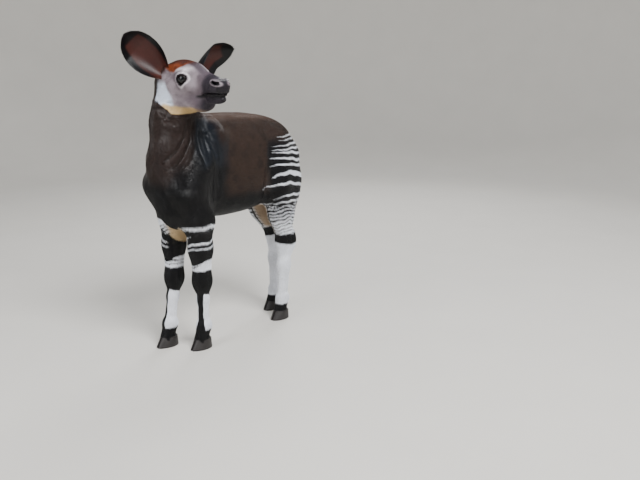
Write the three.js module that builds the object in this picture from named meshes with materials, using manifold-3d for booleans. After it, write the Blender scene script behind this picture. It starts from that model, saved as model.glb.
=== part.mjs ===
// Okapi calf, life size, standing with its head turned to its left.
// Millimetres, +Z up. The animal walks towards +X and its left side is +Y.
// The body is one smooth form of named bones and muscles.
// Thin cuts part it into head, neck, torso and legs.

import * as THREE from "three";
import { mergeVertices } from "three/addons/utils/BufferGeometryUtils.js";
import Module from "manifold-3d";

const wasm = await Module();
wasm.setup();

// Driving dimensions of the calf
const GAP = 0.3; // between two pieces that touch
const CHEST_X = 236; // mid point between the fore feet, along the body
const HIP_X = -270; // mid point between the hind feet, along the body
const STRIDE = 35; // how far each foot stands before or behind its pair's mid point
const KNEE_Z = 268;
const KNEE_BACK = 26; // how far the knee stands behind the line of a foot set forward
const HOCK_Z = 335;
const FETLOCK_Z = 88;
const CORONET_Z = 40; // where the hoof meets the skin
const HEAD_AT = [227, 88, 1013]; // midway between the eyes
const HEAD_YAW = 86; // degrees to the animal's left
const HEAD_PITCH = -3; // degrees, nose up
const HEAD_ROLL = 4; // degrees, left side up
// The left eye in the head's frame, with half the length and height of its opening and the way it looks
const EYE = { at: [25, 41, 5], radius: 22, lid: 5, open: [20, 15.5], facing: [0.42, 0.9, 0.08] };

const rad = THREE.MathUtils.degToRad;
const vec = (a) => new THREE.Vector3(...a);
const mix = (a, b, t) => a.map((v, i) => v + (b[i] - v) * t);

// The head's own frame: +X to the nose, +Y to its left, +Z to the crown
const headFrame = new THREE.Matrix4()
  .makeTranslation(...HEAD_AT)
  .multiply(new THREE.Matrix4().makeRotationZ(rad(HEAD_YAW)))
  .multiply(new THREE.Matrix4().makeRotationY(rad(-HEAD_PITCH)))
  .multiply(new THREE.Matrix4().makeRotationX(rad(HEAD_ROLL)));
const toHead = headFrame.clone().invert().elements;
const onHead = (p) => vec(p).applyMatrix4(headFrame).toArray();

// Forms of the body: a bone is a tapered round bar, a muscle an ellipsoid.
// wide stretches a bone across the body, and soft is how far it melts into the forms before it.
const bone = (a, b, ra, rb, soft, wide = 1) => ({ a, b, ra, rb, soft, wide });
const muscle = (at, size, soft) => ({ at, size, soft });
const pair = (make) => [make(1), make(-1)].flat();

const trunk = [
  muscle([32, 0, 684], [285, 116, 196], 60),
  muscle([235, 0, 640], [105, 104, 177], 60),
  muscle([140, 0, 790], [150, 58, 92], 60),
  muscle([-112, 0, 670], [180, 112, 160], 60),
  muscle([-76, 0, 782], [208, 84, 99], 60),
  muscle([-190, 0, 760], [120, 96, 95], 50),
  muscle([-265, 0, 690], [78, 92, 120], 50),
  ...pair((s) => [
    bone([105, s * 60, 805], [254, s * 80, 634], 44, 61, 40),
    bone([254, s * 78, 630], [206, s * 76, 510], 56, 57, 40),
    bone([-212, s * 50, 764], [-204, s * 70, 600], 67, 68, 50),
    bone([-284, s * 48, 700], [-270, s * 60, 560], 60, 56, 50),
  ]),
];

// A fore leg on side s, from the elbow to the coronet above its foot
const foreLeg = (s, foot) => {
  const elbow = [206, s * 76, 500];
  const set = foot[0] > CHEST_X ? KNEE_BACK : KNEE_BACK / 2;
  const knee = [elbow[0] * 0.3 + foot[0] * 0.7 - set, elbow[1] * 0.2 + foot[1] * 0.78, KNEE_Z];
  const fetlock = [foot[0] - 10, foot[1], FETLOCK_Z];
  return [
    bone(elbow, mix(elbow, knee, 0.45), 58, 46, 30, 0.92),
    bone(mix(elbow, knee, 0.45), knee, 46, 36, 24, 0.92),
    muscle([knee[0] + 4, knee[1], knee[2] + 2], [37, 34.5, 52], 20),
    bone(knee, mix(knee, fetlock, 0.4), 31, 25, 20, 0.88),
    bone(mix(knee, fetlock, 0.4), fetlock, 25, 26, 16, 0.88),
    muscle([fetlock[0] - 3, fetlock[1], fetlock[2]], [32, 29, 30], 14),
    bone(fetlock, [foot[0] + 6, foot[1], CORONET_Z - 20], 27, 33, 14),
  ];
};

// A hind leg on side s, from the thigh to the coronet above its foot
const hindLeg = (s, foot) => {
  const stifle = [-192, s * 76, 585];
  const buttock = [-284, s * 66, 600];
  const hock = [foot[0] - 26, s * 29 + foot[1] * 0.6, HOCK_Z];
  const fetlock = [foot[0] - 12, foot[1], FETLOCK_Z];
  const shank = mix(stifle, hock, 0.45);
  return [
    bone(stifle, shank, 64, 52, 40, 0.85),
    bone(buttock, mix(buttock, hock, 0.6), 60, 38, 40, 0.8),
    bone(shank, hock, 50, 36, 30, 0.82),
    muscle([hock[0] - 16, hock[1], hock[2] + 14], [46, 32, 58], 24),
    bone(hock, mix(hock, fetlock, 0.4), 44, 32, 24, 0.76),
    bone(mix(hock, fetlock, 0.4), fetlock, 32, 26, 20, 0.84),
    muscle([fetlock[0] - 3, fetlock[1], fetlock[2]], [32, 28, 30], 14),
    bone(fetlock, [foot[0] + 6, foot[1], CORONET_Z - 20], 26, 32, 14),
  ];
};

const FEET = {
  fore_left: [CHEST_X - STRIDE, 60, 0],
  fore_right: [CHEST_X + STRIDE, -60, 0],
  hind_left: [HIP_X + STRIDE, 58, 0],
  hind_right: [HIP_X - STRIDE, -58, 0],
};

const POLL = onHead([-101, -12, -22]);
const THROAT = onHead([-64, -8, -34]);
const CREST = [222, -28, 860];
const BREAST = [244, -6, 735];
const GULLET = mix(BREAST, THROAT, 0.55);
const neck = [
  bone([150, 0, 745], CREST, 92, 71, 60, 0.85),
  bone(BREAST, GULLET, 84, 60, 60, 0.9),
  bone(CREST, POLL, 71, 63, 50, 0.95),
  bone(GULLET, THROAT, 60, 46, 50, 0.95),
];

// Forms of the head, in the head's own frame
const side = ([x, y, z], s) => [x, s * y, z];
const skull = [
  muscle([-42, 0, 6], [84, 60, 60], 20),
  muscle([-4, 0, 20], [76, 52, 40], 20),
  bone([30, 0, 14], [146, 0, -8], 36, 25, 24),
  muscle([115, 0, -24], [85, 34, 32], 24),
  muscle([166, 0, -20], [36, 34, 27], 16),
  muscle([184, 0, -12], [17, 27, 18], 12),
  muscle([146, 0, -57], [47, 25, 18], 10),
  bone([-60, 0, -60], [68, 0, -74], 42, 33, 24),
  ...pair((s) => [
    bone([-25, s * 38, 32], [26, s * 41, 20], 14, 11, 18),
    muscle(side(EYE.at, s), Array(3).fill(EYE.radius + EYE.lid), 10),
    bone([-66, s * 38, -18], [58, s * 32, -22], 28, 19, 26),
    muscle([-36, s * 33, -50], [58, 26, 50], 28),
    bone([-62, s * 28, -76], [86, s * 15, -76], 28, 19, 26),
    muscle([-66, s * 48, 30], [26, 17, 22], 16),
  ]),
];

const smoothMin = (a, b, soft) => {
  const h = Math.max(soft - Math.abs(a - b), 0) / soft;
  return Math.min(a, b) - (h * h * soft) / 4;
};

// Distance from a point to one form, negative inside
function reach(form, x, y, z) {
  if (form.at) {
    const [u, v, w] = [x - form.at[0], y - form.at[1], z - form.at[2]];
    const [rx, ry, rz] = form.size;
    const near = Math.hypot(u / rx, v / ry, w / rz);
    const slope = Math.hypot(u / (rx * rx), v / (ry * ry), w / (rz * rz));
    return slope > 1e-9 ? (near * (near - 1)) / slope : -Math.min(rx, ry, rz);
  }
  const { a, b, ra, rb, wide } = form;
  const [ex, ey, ez] = [b[0] - a[0], (b[1] - a[1]) / wide, b[2] - a[2]];
  const [px, py, pz] = [x - a[0], (y - a[1]) / wide, z - a[2]];
  const t = Math.min(1, Math.max(0, (px * ex + py * ey + pz * ez) / (ex * ex + ey * ey + ez * ez)));
  return (Math.hypot(px - t * ex, py - t * ey, pz - t * ez) - ra - t * (rb - ra)) * Math.min(1, wide);
}

const bodyForms = [
  ...trunk,
  ...neck,
  ...foreLeg(1, FEET.fore_left),
  ...foreLeg(-1, FEET.fore_right),
  ...hindLeg(1, FEET.hind_left),
  ...hindLeg(-1, FEET.hind_right),
];

function flesh(x, y, z) {
  let d = 1e4;
  for (const form of bodyForms) d = smoothMin(d, reach(form, x, y, z), form.soft);
  const m = toHead;
  const hx = m[0] * x + m[4] * y + m[8] * z + m[12];
  const hy = m[1] * x + m[5] * y + m[9] * z + m[13];
  const hz = m[2] * x + m[6] * y + m[10] * z + m[14];
  if (hx * hx + hy * hy + hz * hz > 350 ** 2) return d;
  let h = 1e4;
  for (const form of skull) h = smoothMin(h, reach(form, hx, hy, hz), form.soft);
  return smoothMin(d, h, 26);
}

// A three.js geometry as a solid, and back
function solidOf(geometry, merge = 2e-3) {
  const plain = new THREE.BufferGeometry();
  plain.setAttribute("position", geometry.getAttribute("position"));
  plain.setIndex(geometry.getIndex());
  const merged = mergeVertices(plain, merge);
  return new wasm.Manifold(
    new wasm.Mesh({
      numProp: 3,
      vertProperties: new Float32Array(merged.attributes.position.array),
      triVerts: new Uint32Array(merged.index.array),
    }),
  );
}

function geometryOf(solid) {
  const mesh = solid.getMesh();
  const geometry = new THREE.BufferGeometry();
  geometry.setAttribute("position", new THREE.BufferAttribute(mesh.vertProperties, 3));
  geometry.setIndex(new THREE.BufferAttribute(mesh.triVerts, 1));
  geometry.computeVertexNormals();
  return geometry;
}

const largest = (solid) => solid.decompose().sort((a, b) => b.volume() - a.volume())[0];

// The smooth surface where field is 0, inside a box of the given low and high corners.
// frame places the box, and each vertex is drawn onto the true surface.
function skinOf(field, low, high, cell, frame = new THREE.Matrix4()) {
  const count = [0, 1, 2].map((i) => Math.ceil((high[i] - low[i]) / cell[i]) + 1);
  const [nx, ny, nz] = count;
  const point = new THREE.Vector3();
  const at = (i, j, k) => (k * ny + j) * nx + i;
  const place = (i, j, k) => point
    .set(low[0] + i * cell[0], low[1] + j * cell[1], low[2] + k * cell[2])
    .applyMatrix4(frame);
  const value = new Float32Array(nx * ny * nz);
  for (let k = 0; k < nz; k++)
    for (let j = 0; j < ny; j++)
      for (let i = 0; i < nx; i++) {
        const edge = i === 0 || j === 0 || k === 0 || i === nx - 1 || j === ny - 1 || k === nz - 1;
        place(i, j, k);
        value[at(i, j, k)] = edge ? 1 : field(point.x, point.y, point.z) || 1e-3;
      }
  const corner = [...Array(8).keys()].map((n) => [n & 1, (n >> 1) & 1, n >> 2]);
  const edges = corner.flatMap((c, n) => [1, 2, 4].filter((b) => !(n & b)).map((b) => [n, n | b]));
  const vertex = new Map();
  const positions = [];
  const addVertex = (i, j, k) => {
    const key = at(i, j, k);
    if (vertex.has(key)) return vertex.get(key);
    const sum = [0, 0, 0];
    let hits = 0;
    for (const [m, n] of edges) {
      const [p, q] = [corner[m], corner[n]];
      const a = value[at(i + p[0], j + p[1], k + p[2])];
      const b = value[at(i + q[0], j + q[1], k + q[2])];
      if (a < 0 === b < 0) continue;
      const t = a / (a - b);
      p.forEach((v, axis) => (sum[axis] += v + (q[axis] - v) * t));
      hits += 1;
    }
    place(i + sum[0] / hits, j + sum[1] / hits, k + sum[2] / hits);
    drawOn(field, point, Math.min(...cell) * 0.6);
    vertex.set(key, positions.length / 3);
    positions.push(point.x, point.y, point.z);
    return vertex.get(key);
  };
  const index = [];
  const face = (...cells) => {
    const out = cells.slice(0, 4).map((cell) => addVertex(...cell));
    const [a, b, c, d] = cells[4] ? out : out.reverse();
    index.push(a, b, c, a, c, d);
  };
  for (let k = 0; k < nz - 1; k++)
    for (let j = 0; j < ny - 1; j++)
      for (let i = 0; i < nx - 1; i++) {
        const here = value[at(i, j, k)] < 0;
        if (j && k && here !== value[at(i + 1, j, k)] < 0)
          face([i, j - 1, k - 1], [i, j, k - 1], [i, j, k], [i, j - 1, k], here);
        if (i && k && here !== value[at(i, j + 1, k)] < 0)
          face([i - 1, j, k - 1], [i - 1, j, k], [i, j, k], [i, j, k - 1], here);
        if (i && j && here !== value[at(i, j, k + 1)] < 0)
          face([i - 1, j - 1, k], [i, j - 1, k], [i, j, k], [i - 1, j, k], here);
      }
  const geometry = new THREE.BufferGeometry();
  geometry.setAttribute("position", new THREE.BufferAttribute(new Float32Array(positions), 3));
  geometry.setIndex(index);
  return solidOf(geometry);
}

// Moves a point along the slope of the field to where it is 0, by at most the given length
function drawOn(field, point, most) {
  const start = point.clone();
  const step = 0.5;
  for (let turn = 0; turn < 3; turn++) {
    const { x, y, z } = point;
    const d = field(x, y, z);
    const slope = new THREE.Vector3(
      field(x + step, y, z) - field(x - step, y, z),
      field(x, y + step, z) - field(x, y - step, z),
      field(x, y, z + step) - field(x, y, z - step),
    ).divideScalar(2 * step);
    point.addScaledVector(slope, -d / Math.max(slope.lengthSq(), 0.2));
  }
  const moved = point.clone().sub(start);
  if (moved.length() > most) point.copy(start).addScaledVector(moved.normalize(), most);
}

// A closed surface through rings of points, with its two ends capped at their middles
function loft(rings) {
  const size = rings[0].length;
  const positions = rings.flat(2);
  const index = [];
  for (let r = 0; r + 1 < rings.length; r++)
    for (let i = 0; i < size; i++) {
      const [a, b] = [r * size + i, r * size + ((i + 1) % size)];
      index.push(a, b, b + size, a, b + size, a + size);
    }
  for (const [r, turn] of [[0, 1], [rings.length - 1, 0]]) {
    const middle = positions.length / 3;
    const sum = rings[r].reduce((s, p) => s.map((v, i) => v + p[i]), [0, 0, 0]);
    positions.push(...sum.map((v) => v / size));
    for (let i = 0; i < size; i++) {
      const [a, b] = [r * size + i, r * size + ((i + 1) % size)];
      index.push(...(turn ? [middle, b, a] : [middle, a, b]));
    }
  }
  const geometry = new THREE.BufferGeometry();
  geometry.setAttribute("position", new THREE.BufferAttribute(new Float32Array(positions), 3));
  geometry.setIndex(index);
  const solid = solidOf(geometry);
  if (solid.volume() > 0) return solid;
  for (let i = 0; i < index.length; i += 3) [index[i + 1], index[i + 2]] = [index[i + 2], index[i + 1]];
  geometry.setIndex(index);
  return solidOf(geometry);
}

// Cuts that part the body. Each keeps half the gap on either side.
const cut = (at, normal) => {
  const n = vec(normal).normalize();
  return { n: n.toArray(), d: n.dot(vec(at)) };
};
const ahead = (solid, { n, d }) => solid.trimByPlane(n, d + GAP / 2);
const behind = (solid, { n, d }) => solid.trimByPlane(n.map((v) => -v), -d + GAP / 2);

const alongHead = (v) => vec(v).transformDirection(headFrame).toArray();
const CUTS = {
  neck: cut([190, 0, 805], [0.75, 0, 0.66]),
  head: cut(onHead([-78, 0, -42]), alongHead([0.8, 0, 0.6])),
  fore_left: cut([200, 20, 458], [0, 0.33, -0.94]),
  fore_right: cut([200, -20, 458], [0, -0.33, -0.94]),
  hind_left: cut([-250, 20, 508], [0, 0.25, -0.95]),
  hind_right: cut([-250, -20, 508], [0, -0.25, -0.95]),
};

const TRUNK_CELL = [34, 24, 26];
const trunkSkin = (swell) => skinOf(
  (x, y, z) => flesh(x, y, z) - swell,
  [-430, -190, 420], [360, 190, 960], TRUNK_CELL,
);
let torso = behind(trunkSkin(0), CUTS.neck);
// The room under the trunk that a leg fills, drawn in by inset on each side
const legRoom = (name, inset) => {
  const [x, y] = FEET[name];
  const wall = 2 * inset;
  const room = new THREE.BoxGeometry(280 - wall, 250 - wall, 600);
  room.translate(x - 10, Math.sign(y) * 139, 300);
  return solidOf(room).trimByPlane(CUTS[name].n, CUTS[name].d + (inset - 0.5) * GAP);
};
for (const name of Object.keys(FEET)) torso = torso.subtract(legRoom(name, 0));

const neckWhole = skinOf(flesh, [40, -150, 640], [400, 170, 1120], [21, 20, 24]);
const neckSolid = behind(ahead(neckWhole, CUTS.neck), CUTS.head);

// Legs: skin from the cut down to the coronet
const legSolid = (name) => {
  const foot = FEET[name];
  const side = Math.sign(foot[1]);
  const top = name.startsWith("fore") ? 540 : 590;
  const low = [foot[0] - 170, side > 0 ? 2 : -170, 20];
  const high = [foot[0] + 190, side > 0 ? 170 : -2, top];
  const whole = skinOf(flesh, low, high, [15, 14.4, 27]);
  return whole.intersect(legRoom(name, 1)).trimByPlane([0, 0, 1], CORONET_Z);
};

// Hooves: two claws a foot, each a D in plan that widens to a flat sole
const CLAW = { length: 92, width: 31, apart: 2.4, heel: -0.4, sides: 12 };
const clawSolid = (foot, s) => {
  const rings = [];
  for (const t of [0, 0.06, 0.5, 1]) {
    const z = t * (CORONET_Z - GAP);
    const length = CLAW.length * (1 - 0.3 * t) * (t === 0 ? 0.97 : 1);
    const width = CLAW.width * (1 - 0.04 * t) * (t === 0 ? 0.95 : 1);
    const heel = foot[0] + CLAW.heel * CLAW.length * (1 - 0.12 * t);
    const ring = [];
    for (let i = 0; i < CLAW.sides; i++) {
      const a = (2 * Math.PI * i) / CLAW.sides;
      const along = (1 + Math.cos(a)) / 2;
      const narrow = 1 - 0.42 * along ** 3;
      const across = Math.sin(a) > 0 ? Math.sin(a) ** 0.75 * narrow : 0;
      ring.push([heel + along * length, foot[1] + s * (CLAW.apart + Math.max(across, 0) * width), z]);
    }
    rings.push(ring);
  }
  return loft(rings);
};

// Ears: a leaf-shaped cup, a thin C in section that opens wide from a narrow root
const EAR = { half: 62, thick: 6.5, rows: 11, across: 6 };
const earSolid = (root, tip, facing) => {
  const base = vec(root);
  const along = vec(tip).sub(base);
  const length = along.length();
  along.normalize();
  const open = vec(facing).normalize();
  open.addScaledVector(along, -open.dot(along)).normalize();
  const out = along.clone().cross(open);
  const rings = [];
  for (let r = 0; r <= EAR.rows; r++) {
    const t = r / EAR.rows;
    const taper = t < 0.5
      ? THREE.MathUtils.lerp(0.34, 1, Math.sin(Math.PI * t))
      : Math.max(0.06, (1 - (2 * t - 1) ** 2.2) ** 0.62);
    const half = EAR.half * taper;
    const curl = THREE.MathUtils.lerp(1.9, 0.75, Math.min(1, t * 1.6));
    const thick = EAR.thick * (1 - 0.45 * t * t);
    const bow = 16 * Math.sin(Math.PI * t) - 10 * t * t;
    const ring = [];
    const radius = half / Math.sin(Math.min(curl, Math.PI / 2));
    for (const outside of [true, false])
      for (let i = 0; i <= EAR.across; i++) {
        const u = (outside ? i : EAR.across - i) / EAR.across;
        const a = (u * 2 - 1) * curl;
        const edge = 1 - (2 * u - 1) ** 4;
        const away = radius - (outside ? 0 : thick * (0.25 + 0.75 * edge));
        const p = base.clone()
          .addScaledVector(along, t * length)
          .addScaledVector(out, Math.sin(a) * away)
          .addScaledVector(open, radius * 0.75 - Math.cos(a) * away - bow);
        ring.push(p.toArray());
      }
    rings.push(ring);
  }
  return loft(rings);
};

const group = new THREE.Group();
group.name = "okapi_calf";
const finish = (color, roughness) => new THREE.MeshStandardMaterial({ color, roughness, metalness: 0 });
const COAT = {
  body: finish(0x3a2a22, 0.7),
  face: finish(0xa9a0a0, 0.75),
  leg: finish(0xd9d8dc, 0.75),
  ear: finish(0x2a1c1c, 0.7),
  horn: finish(0x1d1a1c, 0.45),
  eye: finish(0x0a0c12, 0.08),
};
const add = (name, solid, material) => {
  const tidy = largest(solidOf(geometryOf(largest(solid)), 0.02));
  const mesh = new THREE.Mesh(geometryOf(tidy), material);
  mesh.name = name;
  group.add(mesh);
};

const headSkin = (swell) => skinOf(
  (x, y, z) => flesh(x, y, z) - swell,
  [-150, -95, -140], [215, 95, 100], [10.8, 9.8, 9.8], headFrame,
);
const headWhole = headSkin(0);
const headSwollen = headSkin(2.5 * GAP);

// The slit between the lips: a wedge round the muzzle from corner to corner
const MOUTH = [[94, 37, -47], [124, 35, -40], [155, 33, -37], [178, 24, -37], [191, 0, -38]];
function mouthSlit() {
  const line = [...MOUTH, ...MOUTH.slice(0, -1).reverse().map(([x, y, z]) => [x, -y, z])];
  return loft(line.map(([x, y, z], i) => {
    const middle = vec([60, 0, z]);
    const inward = middle.sub(vec([x, y, z])).normalize();
    const open = 2.6 * Math.sin((Math.PI * (i + 0.6)) / line.length) + 0.6;
    const at = (depth, up) => onHead(vec([x, y, z + up]).addScaledVector(inward, depth).toArray());
    return [at(-12, open), at(11, 0), at(-12, -open)];
  }));
}

const NOSTRIL = { at: [178, 22, -2], size: [13, 8, 7] };
const nostril = (s) => {
  const [x, y, z] = NOSTRIL.at;
  const shape = new THREE.SphereGeometry(1, 12, 8).scale(...NOSTRIL.size);
  shape.rotateZ(rad(-28 * s)).rotateY(rad(12)).translate(x, s * y, z);
  return solidOf(shape.applyMatrix4(headFrame));
};

// The almond opening between the lids of the eye on side s
const aperture = (s) => {
  const out = vec(side(EYE.facing, s)).normalize();
  const fore = new THREE.Vector3(0, 0, 1).cross(out).normalize();
  const up = out.clone().cross(fore);
  const ring = (depth) => [...Array(14).keys()].map((n) => {
    const a = (2 * Math.PI * n) / 14;
    const p = vec(side(EYE.at, s)).addScaledVector(out, depth);
    p.addScaledVector(fore, Math.cos(a) * EYE.open[0]).addScaledVector(up, Math.sin(a) * EYE.open[1]);
    return onHead(p.toArray());
  });
  return loft([ring(2), ring(60)]);
};

let head = ahead(headWhole, CUTS.head).subtract(mouthSlit());
for (const s of [1, -1]) {
  const ball = (swell) => new THREE.SphereGeometry(EYE.radius + swell, 12, 8)
    .translate(...side(EYE.at, s))
    .applyMatrix4(headFrame);
  head = head.subtract(nostril(s)).subtract(aperture(s)).subtract(solidOf(ball(GAP)));
  add(s > 0 ? "eye_left" : "eye_right", solidOf(ball(0)), COAT.eye);
}

add("torso", torso, COAT.body);
add("neck", neckSolid, COAT.body);
add("head", head, COAT.face);
for (const [name, foot] of Object.entries(FEET)) {
  add("leg_" + name, legSolid(name), COAT.leg);
  add("hoof_" + name + "_outer", clawSolid(foot, Math.sign(foot[1])), COAT.horn);
  add("hoof_" + name + "_inner", clawSolid(foot, -Math.sign(foot[1])), COAT.horn);
}

// The left ear reaches out to the side, the right one is held up
const EARS = {
  ear_left: { root: [-66, 58, 4], tip: [-60, 236, 98], facing: [0.8, 0.1, -0.45] },
  ear_right: { root: [-71, -58, 18], tip: [-94, -187, 157], facing: [0.85, -0.35, -0.1] },
};
for (const [name, { root, tip, facing }] of Object.entries(EARS)) {
  const cup = earSolid(onHead(root), onHead(tip), alongHead(facing));
  add(name, cup.subtract(headSwollen), COAT.ear);
}

// Tail: hangs from the rump, with a tuft of locks round its end
const tailPath = new THREE.CatmullRomCurve3(
  [[-312, 0, 785], [-356, 0, 762], [-376, 2, 700], [-378, 4, 610], [-372, 5, 530]].map(vec),
);
const tube = (path, radius, rows, sides, flat = 1) => {
  const rings = [];
  for (let r = 0; r <= rows; r++) {
    const t = r / rows;
    const across = new THREE.Vector3(0, 1, 0);
    const back = path.getTangent(t).cross(across).normalize();
    const ring = [];
    for (let i = 0; i < sides; i++) {
      const a = (2 * Math.PI * i) / sides;
      const p = path.getPoint(t).addScaledVector(across, Math.cos(a) * radius(t) * flat);
      ring.push(p.addScaledVector(back, Math.sin(a) * radius(t)).toArray());
    }
    rings.push(ring);
  }
  return loft(rings);
};
const random = ((seed) => () => {
  seed = (seed * 16807) % 2147483647;
  return seed / 2147483647;
})(41);
const spread = (low, high) => low + (high - low) * random();

let tail = tube(tailPath, (t) => THREE.MathUtils.lerp(21, 9, Math.min(1, t * 1.4)), 11, 8);
const LOCKS = 16;
for (let n = 0; n < LOCKS; n++) {
  const t = THREE.MathUtils.lerp(0.62, 0.99, n / LOCKS);
  const turn = n * 2.4;
  const root = tailPath.getPoint(t);
  const out = [Math.cos(turn), Math.sin(turn)];
  const length = spread(85, 120);
  const bend = spread(4, 12);
  const points = [0, 0.35, 0.7, 1].map((u) => {
    const away = 2 + bend * Math.sin(Math.PI * u * 0.75);
    return vec([root.x + out[0] * away + 5 * u, root.y + out[1] * away, root.z - length * u]);
  });
  const lock = tube(new THREE.CatmullRomCurve3(points), (u) => 6 * (1 - u) ** 0.7 + 0.5, 4, 4, 1.6);
  tail = tail.add(lock);
}
add("tail", tail.subtract(trunkSkin(GAP)), COAT.body);

// The origin is on the floor, under the middle of the whole animal
group.updateMatrixWorld(true);
const box = new THREE.Box3().setFromObject(group, true);
group.position.set(-(box.min.x + box.max.x) / 2, -(box.min.y + box.max.y) / 2, -box.min.z);

export default group;
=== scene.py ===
"""The dressed okapi calf: skin, coat, eyes, ears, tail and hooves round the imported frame.

The calf walks towards +X and its left side is +Y. Its shape is worked out in millimetres in the body's own
frame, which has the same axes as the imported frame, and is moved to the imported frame's place and to metres
when a mesh is made. One smooth field gives the flesh; the skin lies under it by the depth of the coat, and
the coat is tufts rooted in the skin.
"""

import logging
import math
from dataclasses import dataclass
from enum import Enum
from typing import Callable, ClassVar, Sequence

import bmesh
import bpy
import numpy as np
from mathutils import Matrix, Vector


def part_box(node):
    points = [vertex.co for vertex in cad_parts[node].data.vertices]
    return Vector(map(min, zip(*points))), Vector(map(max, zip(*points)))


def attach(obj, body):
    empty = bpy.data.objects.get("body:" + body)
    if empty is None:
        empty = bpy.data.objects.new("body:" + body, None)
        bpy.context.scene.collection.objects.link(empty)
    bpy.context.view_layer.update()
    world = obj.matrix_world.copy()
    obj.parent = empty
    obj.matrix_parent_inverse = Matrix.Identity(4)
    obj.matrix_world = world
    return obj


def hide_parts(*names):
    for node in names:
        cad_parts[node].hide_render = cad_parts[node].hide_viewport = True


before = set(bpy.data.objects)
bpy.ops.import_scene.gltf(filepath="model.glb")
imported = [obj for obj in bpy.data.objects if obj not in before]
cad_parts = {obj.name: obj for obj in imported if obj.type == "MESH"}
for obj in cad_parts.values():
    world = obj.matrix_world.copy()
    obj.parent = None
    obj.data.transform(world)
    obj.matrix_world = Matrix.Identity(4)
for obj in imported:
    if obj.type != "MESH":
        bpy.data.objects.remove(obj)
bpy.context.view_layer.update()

LOG = logging.getLogger("okapi_calf")
MM = 0.001
Point = tuple[float, float, float]
Field = Callable[[np.ndarray], np.ndarray]


# Small shared tools


def linear(code: str) -> tuple[float, float, float]:
    """Turns an sRGB hex colour into linear light.

    Args:
        code: The colour as six hex digits, with or without a leading hash.

    Returns:
        Red, green and blue in linear light.
    """
    digits = code.lstrip("#")
    parts = [int(digits[i:i + 2], 16) / 255 for i in (0, 2, 4)]
    return tuple(c / 12.92 if c <= 0.04045 else ((c + 0.055) / 1.055) ** 2.4 for c in parts)


def vec(values: Sequence[float]) -> np.ndarray:
    """Gives a point or direction as an array."""
    return np.array(values, float)


def unit(values: np.ndarray) -> np.ndarray:
    """Scales the last axis of an array to length one."""
    return values / np.maximum(np.linalg.norm(values, axis=-1, keepdims=True), 1e-9)


def ease(low: float, high: float, values: np.ndarray) -> np.ndarray:
    """Rises smoothly from 0 at low to 1 at high; low may be above high."""
    t = np.clip((values - low) / (high - low), 0, 1)
    return t * t * (3 - 2 * t)


def blend(a: np.ndarray, b: np.ndarray, t: np.ndarray) -> np.ndarray:
    """Mixes two sets of colours or values by t, one value a row."""
    t = np.asarray(t)[:, None] if np.ndim(a) == 2 or np.ndim(b) == 2 else t
    return a + (b - a) * t


def smooth_min(a: np.ndarray, b: np.ndarray, soft: float) -> np.ndarray:
    """Joins two distances with a round fillet about soft wide."""
    h = np.maximum(soft - np.abs(a - b), 0) / soft
    return np.minimum(a, b) - h * h * soft / 4


def smooth_max(a: np.ndarray, b: np.ndarray, soft: float) -> np.ndarray:
    """Cuts one distance by another with a round edge about soft wide."""
    return -smooth_min(-a, -b, soft)


class Ripple:
    """A smooth wandering value over space: a sum of seeded waves, between about -1 and 1."""

    def __init__(self, seed: int, size: float, waves: int = 7) -> None:
        """Draws the waves.

        Args:
            seed: Seed of the draw.
            size: Typical length of a wander in millimetres.
            waves: How many waves are added.
        """
        draw = np.random.default_rng(seed)
        heading = unit(draw.normal(size=(waves, 3)))
        self.waves = heading * (2 * math.pi / size) * draw.uniform(0.6, 1.6, (waves, 1))
        self.phase = draw.uniform(0, 2 * math.pi, waves)

    def at(self, points: np.ndarray) -> np.ndarray:
        """Gives the value at each point."""
        return np.sin(points @ self.waves.T + self.phase).sum(1) / math.sqrt(len(self.phase) * 1.4)


# Forms of the flesh


@dataclass(frozen=True)
class Bone:
    """A tapered round bar, stretched across the body by wide. Soft is the width of its fillet."""

    start: Point
    end: Point
    r_start: float
    r_end: float
    soft: float
    wide: float = 1.0

    def reach(self, p: np.ndarray) -> np.ndarray:
        """Measures how far points lie from the form.

        Args:
            p: The points.

        Returns:
            Their distances, negative inside.
        """
        squeeze = np.array([1, 1 / self.wide, 1])
        e = (vec(self.end) - vec(self.start)) * squeeze
        q = (p - vec(self.start)) * squeeze
        t = np.clip(q @ e / (e @ e), 0, 1)
        gap = np.sqrt(((q - t[:, None] * e) ** 2).sum(1))
        return (gap - self.r_start - t * (self.r_end - self.r_start)) * min(1.0, self.wide)


@dataclass(frozen=True)
class Muscle:
    """An ellipsoid with its sides along the axes. Soft is the width of its fillet."""

    at: Point
    size: Point
    soft: float

    def reach(self, p: np.ndarray) -> np.ndarray:
        """Measures how far points lie from the form.

        Args:
            p: The points.

        Returns:
            Their distances, negative inside.
        """
        q = p - vec(self.at)
        near = np.sqrt(((q / vec(self.size)) ** 2).sum(1))
        slope = np.sqrt(((q / vec(self.size) ** 2) ** 2).sum(1))
        return near * (near - 1) / np.maximum(slope, 1e-6)


Form = Bone | Muscle


def both_sides(make: Callable[[int], Sequence[Form]]) -> list[Form]:
    """Makes forms for the left side and then the right."""
    return [*make(1), *make(-1)]


def toward(a: Sequence[float], b: Sequence[float], t: float) -> Point:
    """Gives the point a share t of the way from a to b."""
    return tuple(x + (y - x) * t for x, y in zip(a, b))


class LegName(Enum):
    """The four legs, with the side as 1 for left and -1 for right."""

    FORE_LEFT = ("fore_left", 1, True)
    FORE_RIGHT = ("fore_right", -1, True)
    HIND_LEFT = ("hind_left", 1, False)
    HIND_RIGHT = ("hind_right", -1, False)

    @property
    def node(self) -> str:
        """The leg's part of its nodes' names."""
        return self.value[0]

    @property
    def side(self) -> int:
        """1 on the left, -1 on the right."""
        return self.value[1]

    @property
    def fore(self) -> bool:
        """True for a fore leg."""
        return self.value[2]


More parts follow.
